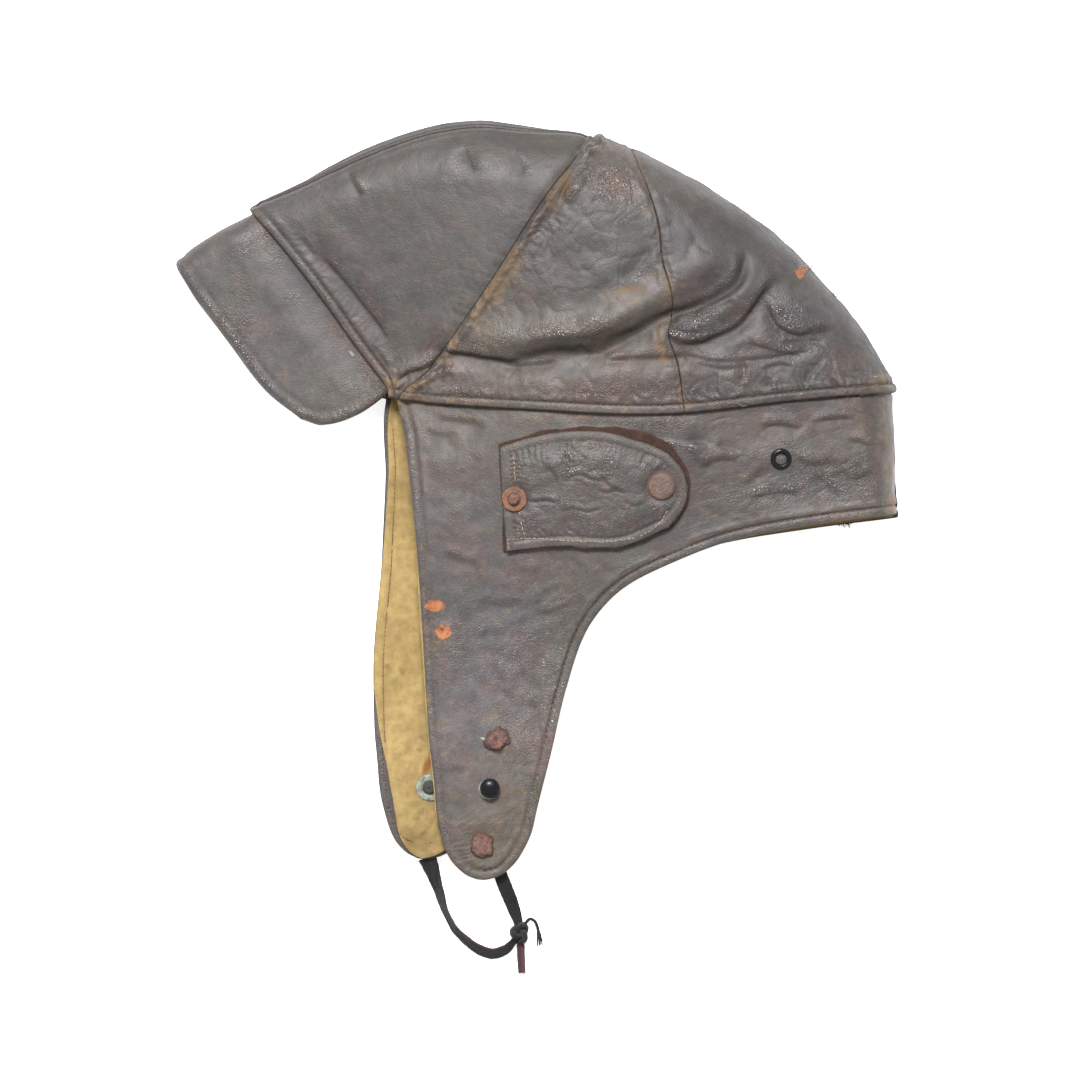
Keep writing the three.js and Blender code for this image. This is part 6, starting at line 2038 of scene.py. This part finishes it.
def make_cover(side):
    tag = "left" if side > 0 else "right"
    for ply in ("base", "top"):
        patch = cover_patch(1.4 if ply == "base" else 0.0)
        n, m = (124, 84) if side > 0 else (60, 40)
        if ply == "base":
            n, m = n * 3 // 4, m * 3 // 4
        U = spread(n, np.full(m, 75.0)).T
        V = spread(m, np.full(n, 44.0))
        XY = patch(U, V)
        grow = 1.4 if ply == "base" else 0.0
        XY = np.stack(nudged(XY[..., 0], XY[..., 1], grow), -1)
        X, Y = XY[..., 0], XY[..., 1]
        ring = outline(patch)
        ring = np.stack(nudged(ring[:, 0], ring[:, 1], grow), -1)
        d = to_polyline(X, Y, ring)[0]
        # cut by hand: the outline wanders
        p0 = np.stack([X, Y, 0 * X + (5 if ply == "base" else 40)], -1)
        amount = 0.75 if ply == "base" else 0.55
        edge = np.exp(-d / 5.0)[..., None]
        XY = XY + amount * edge * np.stack([perlin(p0, 9), perlin(p0 + 30, 9)], -1)
        X, Y = XY[..., 0], XY[..., 1]
        SD = np.full(X.shape, float(side))
        P = skin(X, Y, SD)
        base = band_skin(X, Y)
        if ply == "base":
            o = base + LAP_GAP
            relief = 0.12 * fractal(P, 6, 2) - 0.5 * np.exp(-d / 0.5) + 0.25 * np.exp(-((d / 2.5) ** 2)) * fractal(P + 9, 5, 2)
            at = {
                "tan": 0.25 + 0.25 * fractal(P + 3, 6, 2),
                "orange": 0.16 + 0.30 * np.exp(-d / 2.2) * smooth(perlin(P + 3, 5), -0.3, 0.4),
                "pale": 0 * X,
                "red": 0 * X + 1,
                "dirt": np.clip(0.45 + 0.5 * fractal(P + 60, 5, 2), 0.1, 0.8),
                "gloss": 0 * X,
            }
            obj = wall_object(f"ear_cover_base_{tag}_leather", X, Y, SD, o + COVER_WALL + relief, o, at, [RAW_LEATHER])
            place(obj, "leather", f"ear_cover_base_{tag}")
            continue
        o = base + 2 * LAP_GAP + COVER_WALL
        d, t, _, _, _ = to_polyline(X, Y, ring)
        r = 0.8
        relief = np.where(d < r, -r + np.sqrt(np.maximum(0, r * r - (r - np.minimum(d, r)) ** 2)), 0)
        body = smooth(d, 3.0, 9.0)
        relief = relief - 0.42 * np.exp(-(((d - 4.0) / 0.6) ** 2)) * (1 - 0.7 * smooth(Y, 0, 10)) + 0.9 * smooth(d, 4.2, 12) + 0.12 * np.exp(-(((d - 2.2) / 1.0) ** 2))
        relief = relief + 0.30 * puckers(d, t, 225, P, 2.6, 4.2, 4.2)
        relief = relief + body * (0.34 * fractal(P + 13, 11, 2) + 0.14 * fractal(P + 17, 4, 2) - 0.16 * creased(P + 7, 5.0, 0.10))
        # painted shade in the stitch groove and along the cut edge
        dirt = 0.45 * np.exp(-(((d - 4.0) / 0.5) ** 2)) * (1 - 0.75 * smooth(Y, 0, 10)) + 0.5 * np.exp(-((d / 0.6) ** 2))
        if side > 0:
            for line, depth, width in COVER_CREASES:
                pts = Curve(px(*line)).at(np.linspace(0, 1, 24))
                dd, tt, ss, _, _ = to_polyline(X, Y, pts)
                fade = smooth(tt, 0, 0.2) * (1 - smooth(tt, 0.8, 1))
                relief = relief - fade * depth * np.exp(-((dd / width) ** 2)) + fade * 0.6 * depth * np.exp(-(((dd * ss - 1.5) / 1.1) ** 2))
                # painted shade in the crease
                dirt = np.maximum(dirt, 0.5 * fade * np.exp(-((dd / width) ** 2)))
        # pressed in round the snap, with painted shade in the dent
        for cx, cy, rr in ((51.0, 5.7, 7.5), (-9.2, 0.4, 6.5)):
            k = np.hypot(X - cx, Y - cy)
            relief = relief * smooth(k, rr - 2.4, rr + 1.2) - 0.25 * (1 - smooth(k, rr - 1, rr + 2))
            dirt = np.maximum(dirt, 0.5 * np.exp(-(((k - rr + 1.6) / 0.8) ** 2)))
        at = wear(X, Y, SD, P)
        at["dirt"] = np.clip(dirt, 0, 1)
        at["tan"] = at["tan"] * 0.4 + 0.3 * np.exp(-((d / 1.0) ** 2))
        at["gloss"] = np.clip(0.25 + 0.5 * body * smooth(fractal(P + 4, 12, 2), -0.1, 0.4), 0, 0.8)
        obj = wall_object(f"ear_cover_{tag}_leather", X, Y, SD, o + COVER_WALL + np.maximum(relief, -0.9), o, at, [LEATHER])
        place(obj, "leather", f"ear_cover_{tag}")

    def off(x, y, P):
        k = to_polyline(x, y, outline(cover_patch(0.0)))[0]
        return band_skin(x, y) + 2 * LAP_GAP + 2 * COVER_WALL - 0.30 * np.exp(-(((k - 4.0) / 0.6) ** 2)) + 0.9 * smooth(k, 4.2, 12) * (np.hypot(x - 51, y - 5.7) > 8)

    if side > 0:
        bag = Bag()
        rows = [
            (px((507, 539), (530, 537.5), (560, 539), (600, 540.5), (630, 538), (648, 531), (660, 521), (668, 507)), 1.75),
            (px((509, 540), (509.5, 546), (510, 551)), 1.9),
            (px((515, 455), (515.6, 464), (516.3, 472), (517, 484)), 2.1),
            (px((521, 511), (523, 522), (525, 534), (527, 547)), 1.9),
        ]
        for pts, sp in rows:
            line = Curve(pts).at(np.linspace(0, 1, 60))
            stitches(bag, line, side, off, sp, sp * 0.95, 0.19, 0.14, lost=0.03)
        top = outline(cover_patch(0.0))
        line = offset_line(top[4:58], -4.0)
        place(bag.make("ear_cover_left_stitches", [CREAM_THREAD]), "leather")
        bag = Bag()
        stitches(bag, line, side, off, 2.2, 1.5, 0.16, 0.06, lost=0.12)
        place(bag.make("ear_cover_left_top_stitches", [BROWN_THREAD]), "leather")
    else:
        bag = Bag()
        ring = outline(cover_patch(0.0))
        line = offset_line(ring, -4.0)
        stitches(bag, line, side, off, 2.4, 1.6, 0.18, 0.08, lost=0.1)
        place(bag.make("ear_cover_right_stitches", [CREAM_THREAD]), "leather")


for side in (1, -1):
    make_cover(side)


# ------------------------------------------------------------------ metal
def rust_material(name, base, dark, light, metal=0.15):
    mat, nt, bsdf = nodes_of(name)
    m = Maker(nt)
    a = m.noise(380, 5, 0.7, 0.5)
    b = m.noise(1500, 4, 0.7)
    col = m.mix(m.step(a, 0.38, 0.62), base, dark)
    col = m.mix(m.step(b, 0.50, 0.72), col, light)
    col = m.mix(m.math("MULTIPLY", m.attr("dirt"), 0.8), col, (0.022, 0.012, 0.009))
    col = m.mix(m.math("MULTIPLY", m.attr("orange"), 0.9), col, (0.33, 0.12, 0.04))
    m.link(col, bsdf.inputs["Base Color"])
    bsdf.inputs["Metallic"].default_value = metal
    m.link(m.step(b, 0.3, 0.7, 0.62, 0.9), bsdf.inputs["Roughness"])
    m.link(m.bump(b, 0.9, 0.0006, m.bump(a, 0.8, 0.0008)), bsdf.inputs["Normal"])
    return mat


PINK_RUST = rust_material("pinkish_rust", (0.185, 0.098, 0.080), (0.095, 0.046, 0.037), (0.30, 0.185, 0.155))
SNAP_RUST = rust_material("rusted_snap", (0.150, 0.105, 0.088), (0.105, 0.062, 0.046), (0.26, 0.20, 0.16))
ORANGE_RUST = rust_material("orange_rust", (0.185, 0.098, 0.066), (0.125, 0.058, 0.036), (0.31, 0.19, 0.135))


def enamel_material():
    mat, nt, bsdf = nodes_of("black_enamel_gloss")
    m = Maker(nt)
    chip = m.step(m.noise(900, 4, 0.7), 0.66, 0.72)
    m.link(m.mix(chip, (0.006, 0.006, 0.008), (0.07, 0.065, 0.055)), bsdf.inputs["Base Color"])
    m.link(m.step(m.noise(500, 3, 0.6), 0.3, 0.7, 0.16, 0.34), bsdf.inputs["Roughness"])
    bsdf.inputs["Specular IOR Level"].default_value = 0.22
    m.link(m.bump(m.noise(420, 3, 0.5), 0.25, 0.0006), bsdf.inputs["Normal"])
    return mat


def brass_material():
    mat, nt, bsdf = nodes_of("green_brass")
    m = Maker(nt)
    a = m.noise(700, 5, 0.7, 0.6)
    col = m.mix(m.step(a, 0.36, 0.6), (0.16, 0.18, 0.135), (0.30, 0.32, 0.27))
    col = m.mix(m.step(m.noise(420, 4, 0.7), 0.58, 0.7), col, (0.10, 0.075, 0.05))
    col = m.mix(m.math("MULTIPLY", m.attr("dirt"), 0.9), col, (0.012, 0.011, 0.012))
    m.link(col, bsdf.inputs["Base Color"])
    bsdf.inputs["Metallic"].default_value = 0.25
    m.link(m.step(a, 0.3, 0.7, 0.45, 0.8), bsdf.inputs["Roughness"])
    m.link(m.bump(a, 0.8, 0.0006), bsdf.inputs["Normal"])
    return mat


ENAMEL = enamel_material()
BRASS = brass_material()

STANDS_ON = {
    "band": lambda x, y: band_skin(x, y) + LAP_GAP + 0.15,
    "cover": lambda x, y: band_skin(x, y) + 2 * COVER_WALL + 3 * LAP_GAP,
    "lining": lambda x, y: band_skin(x, y) - BAND_WALL - GAP - LINING_WALL - LAP_GAP,
}


def turned_form(bag, at, normal, profile, sides=48, wobble=0.0, size=2.0, seed=0.0, nub=None, **attrs):
    """A turned form standing on a point, with its profile's r and h, and the
    rough or bitten outline that rust has left it. Heights below 0 are sunk."""
    pr = np.array(profile, float)
    s = np.concatenate([[0], np.cumsum(np.hypot(*np.diff(pr, axis=0).T))])
    k = max(24, int(s[-1] / 0.28))
    t = np.unique(np.concatenate([np.linspace(0, s[-1], k), s]))
    r, h = np.interp(t, s, pr[:, 0]), np.interp(t, s, pr[:, 1])
    q = 2 * np.pi * np.arange(sides) / sides
    R = np.broadcast_to(r[:, None], (len(r), sides)).copy()
    H = np.broadcast_to(h[:, None], R.shape).copy()
    L = np.stack([R * np.cos(q), R * np.sin(q), H], -1)
    if wobble:
        n = fractal(L + seed, size, 3)
        R = R * (1 + wobble * n * smooth(R, 0.2, 1.2))
        H = H + wobble * 1.6 * fractal(L + seed + 40, size * 0.8, 3) * smooth(H, 0.1, 0.8)
        if nub is not None:
            H = H + nub(L[..., 0], L[..., 1], h[:, None] + 0 * R)
    w = normal / np.linalg.norm(normal)
    u = np.cross([0, 1.0, 0], w)
    u /= np.linalg.norm(u)
    v = np.cross(w, u)
    P = at + R[..., None] * (np.cos(q)[:, None] * u + np.sin(q)[:, None] * v) + H[..., None] * w
    bag.grid(P, **{key: (val(L[..., 0], L[..., 1], H) if callable(val) else val + 0 * R) for key, val in attrs.items()})


def dome(r, h, edge, under=0.0):
    """A low domed cap's profile, from its axis underneath round to its top."""
    out = [(0.001, under), (r - edge * 0.6, under), (r - 0.15 * edge, under + 0.2 * edge), (r, under + 0.6 * edge)]
    a = np.linspace(0, 1, 14)[1:]
    for k in a:
        rr = r * (1 - k)
        out.append((max(0.001, rr), under + edge * 0.6 + (h - under - edge * 0.6) * (1 - (rr / r) ** 4) ** 0.8))
    return out


FITTINGS = [
    ("cover_snap_cap", "cover", "cap", (51.0, 5.7), (51.0, 5.7)),
    ("cover_snap_stud", "cover", "stud", (-8.5, 0.3), (-9.2, 0.4)),
    ("goggle_stud", "band", "ring", (99.8, 16.4), (99.8, 16.4)),
    ("upper_rivet", "band", "rivet", (-15.8, -98.8), (-18.5, -106)),
    ("chin_stud", "band", "ball", (-19.1, -118.5), (-20.7, -124.6)),
    ("lower_rivet", "band", "low", (-22.3, -141.2), (-24, -141.5)),
    ("chin_washer", "lining", "washer", (-19.1, -118.5), (-19.5, -124.5)),
]


def make_fitting(name, on, kind, place_at, side, tag):
    x, y = place_at
    P, N = skin_frame(np.array([x]), np.array([y]), float(side))
    P, N = P[0], N[0]
    o = float(STANDS_ON[on](P[0], P[1]))
    at = P + N * o
    w = -N if on == "lining" else N
    seed = 17.0 * (len(name) + (3 if side < 0 else 0))
    bag = Bag()
    slot, mat = "rusted_metal", PINK_RUST
    if kind == "cap":
        mat = SNAP_RUST
        rim = lambda a, b, h: smooth(np.hypot(a, b), 4.9, 5.6) * 0.6
        turned_form(bag, at, w, dome(5.6, 1.45, 0.9, -0.5), 64, 0.03, 2.2, seed, dirt=rim, orange=lambda a, b, h: 0.35 * smooth(-b - a, 3.5, 7))
        turned_form(bag, at, w, [(5.0, -0.9), (5.9, -0.9), (6.1, -0.65), (5.8, -0.4), (5.0, -0.4)], 56, 0.03, 2.0, seed, dirt=0.75, orange=0.2)
    elif kind == "stud":
        mat = ORANGE_RUST
        prof = [(0.001, -0.5), (4.9, -0.5), (5.15, -0.1), (5.0, 0.4), (4.4, 0.62), (3.4, 0.50), (2.6, 0.66), (2.15, 1.0), (1.75, 1.35), (1.75, 1.9), (1.95, 2.35), (1.75, 2.7), (1.1, 2.85), (0.001, 2.75)]
        turned_form(bag, at, w, prof, 56, 0.05, 1.8, seed, dirt=lambda a, b, h: 0.75 * np.exp(-(((np.hypot(a, b) - 2.5) / 0.45) ** 2)) + 0.4 * smooth(np.hypot(a, b), 4.7, 5.2), orange=lambda a, b, h: 0.42 * smooth(np.hypot(a, b), 2.4, 3.4) * smooth(perlin(np.stack([a, b, h], -1), 2.2), -0.4, 0.4))
    elif kind == "ring":
        slot, mat = "black_enamel", ENAMEL
        q = np.linspace(np.pi * 1.5, -np.pi * 0.5, 26)
        prof = [(3.30 + 1.02 * np.cos(a), 0.15 + 0.95 * np.sin(a)) for a in q]
        turned_form(bag, at, w, prof, 56, 0.012, 3.0, seed, dirt=0.0, orange=0.0)
        hub = Bag()
        turned_form(hub, at, w, [(0.001, -0.35), (0.9, -0.38), (1.2, -0.55), (2.2, -0.5), (2.6, -0.1)], 32, 0.06, 1.2, seed, dirt=lambda a, b, h: 0.35 + 0.5 * np.exp(-(((np.hypot(a, b) - 1.3) / 0.4) ** 2)), orange=0.0)
        place(hub.make(f"{name}_{tag}_hub", [BRASS], lift=True), "tarnished_brass")
    elif kind == "rivet":
        # a bent rivet, rusted into a lump with its clenched end showing
        def lump(a, b, h):
            up = smooth(h, 0.4, 1.4)
            return up * (1.2 * np.exp(-(((a - 0.4) / 1.6) ** 2 + ((b + 2.6) / 1.3) ** 2)) - 0.9 * np.exp(-(((a + 1.2) / 0.9) ** 2 + ((b + 0.2) / 1.7) ** 2)) + 0.9 * np.exp(-(((a - 1.4) / 1.5) ** 2 + ((b - 2.3) / 1.6) ** 2)) + 0.5 * np.exp(-(((a + 3.0) / 1.0) ** 2 + (b / 1.8) ** 2)))

        turned_form(bag, at, w, [(0.001, -0.6), (4.3, -0.6), (4.9, -0.2), (4.8, 0.3), (4.2, 0.9), (3.3, 1.4), (2.0, 1.7), (0.001, 1.75)], 72, 0.36, 4.6, seed, lump, dirt=lambda a, b, h: np.clip(0.6 * smooth(np.hypot(a, b), 3.3, 4.4) + 0.6 * np.exp(-(((a + 0.9) / 0.7) ** 2 + (b / 1.5) ** 2)), 0, 1), orange=lambda a, b, h: 0.65 * np.exp(-(((a - 0.6) / 1.7) ** 2 + ((b + 2.9) / 1.1) ** 2)))
    elif kind == "low":
        def lump(a, b, h):
            up = smooth(h, 0.4, 1.2)
            return up * (0.5 * np.exp(-(((a - 1.6) / 1.4) ** 2 + ((b + 3.0) / 1.4) ** 2)) - 0.35 * np.exp(-((a / 1.6) ** 2 + ((b - 0.4) / 1.3) ** 2)) - 1.3 * np.exp(-(((a + 0.4) / 0.9) ** 2 + ((b + 4.2) / 1.5) ** 2)))

        turned_form(bag, at, w, [(0.001, -0.6), (4.4, -0.6), (4.85, -0.2), (4.75, 0.4), (4.3, 0.95), (3.4, 1.25), (1.8, 1.25), (0.001, 1.2)], 72, 0.24, 4.2, seed, lump, dirt=lambda a, b, h: 0.7 * smooth(np.hypot(a, b), 3.5, 4.5), orange=0.05)
    elif kind == "ball":
        slot, mat = "black_enamel", ENAMEL
        q = np.linspace(-1.1, np.pi / 2, 22)
        prof = [(2.5, 0.2), (2.6, 0.8)] + [(max(0.001, 4.05 * np.cos(a)), 2.35 + 2.05 * np.sin(a)) for a in q]
        turned_form(bag, at, w, prof, 56, 0.016, 3.5, seed, dirt=0.0, orange=0.0)
        plate = Bag()
        turned_form(plate, at + np.array([-0.65, -0.45, 0.0]), w, [(0.001, -0.6), (3.9, -0.6), (4.15, -0.25), (4.05, 0.05), (3.6, 0.2), (2.6, 0.2), (0.001, 0.2)], 48, 0.09, 2.0, seed, dirt=lambda a, b, h: np.clip(0.75 * smooth(a + b, -2.5, 1.5) + 0.35 * smooth(perlin(np.stack([a, b, h], -1), 2.0), -0.1, 0.4), 0, 1), orange=0.0)
        place(plate.make(f"{name}_{tag}_plate", [BRASS], lift=True), "tarnished_brass")
    elif kind == "washer":
        slot, mat = "tarnished_brass", BRASS
        turned_form(bag, at, w, [(0.001, -0.35), (5.0, -0.35), (5.5, 0.0), (5.3, 0.35), (4.7, 0.55), (3.7, 0.42), (2.9, 0.25), (2.4, 0.3), (0.001, 0.3)], 64, 0.07, 1.8, seed, dirt=lambda a, b, h: np.clip(1 - smooth(np.hypot(a, b), 2.7, 3.2) + 0.35 * smooth(perlin(np.stack([a, b, h], -1), 1.8), 0.0, 0.5), 0, 1), orange=0.0)
        turned_form(bag, at, w, [(0.3, 0.2), (2.6, 0.25), (2.6, 0.75), (1.9, 1.15), (0.3, 1.2)], 36, 0.04, 1.6, seed + 9, dirt=1.0, orange=0.0)
    place(bag.make(f"{name}_{tag}_form", [mat], angle=60, lift=True), slot, f"{name}_{tag}")


for name, on, kind, left, right in FITTINGS:
    make_fitting(name, on, kind, left, 1, "left")
    make_fitting(name, on, kind, right, -1, "right")


# ------------------------------------------------------------------ stage and light
def make_stage():
    bpy.ops.mesh.primitive_plane_add(size=6, location=(0, 0, -0.0006))
    floor = bpy.context.object
    floor.name = "floor"
    mat, nt, bsdf = nodes_of("light_table")
    bsdf.inputs["Base Color"].default_value = (0.93, 0.93, 0.93, 1)
    bsdf.inputs["Roughness"].default_value = 0.9
    bsdf.inputs["Specular IOR Level"].default_value = 0.1
    bsdf.inputs["Emission Color"].default_value = (1, 1, 1, 1)
    bsdf.inputs["Emission Strength"].default_value = 0.68
    floor.data.materials.append(mat)
    world = bpy.data.worlds.new("studio")
    bpy.context.scene.world = world
    world.use_nodes = True
    bg = world.node_tree.nodes["Background"]
    bg.inputs[0].default_value = (0.95, 0.975, 1.0, 1)
    bg.inputs[1].default_value = 0.72

    def area(name, loc, target, size, power, colour=(1, 1, 1)):
        data = bpy.data.lights.new(name, "AREA")
        data.shape = "RECTANGLE"
        data.size, data.size_y = size
        data.energy = power
        data.color = colour
        obj = bpy.data.objects.new(name, data)
        obj.location = loc
        obj.rotation_euler = (Vector(target) - Vector(loc)).to_track_quat("-Z", "Y").to_euler()
        bpy.context.collection.objects.link(obj)

    area("key", (-0.15, 0.80, 1.45), (0, -0.03, 0), (0.5, 0.4), 50, (0.97, 0.985, 1.0))
    bpy.context.scene.view_settings.view_transform = "Standard"


make_stage()
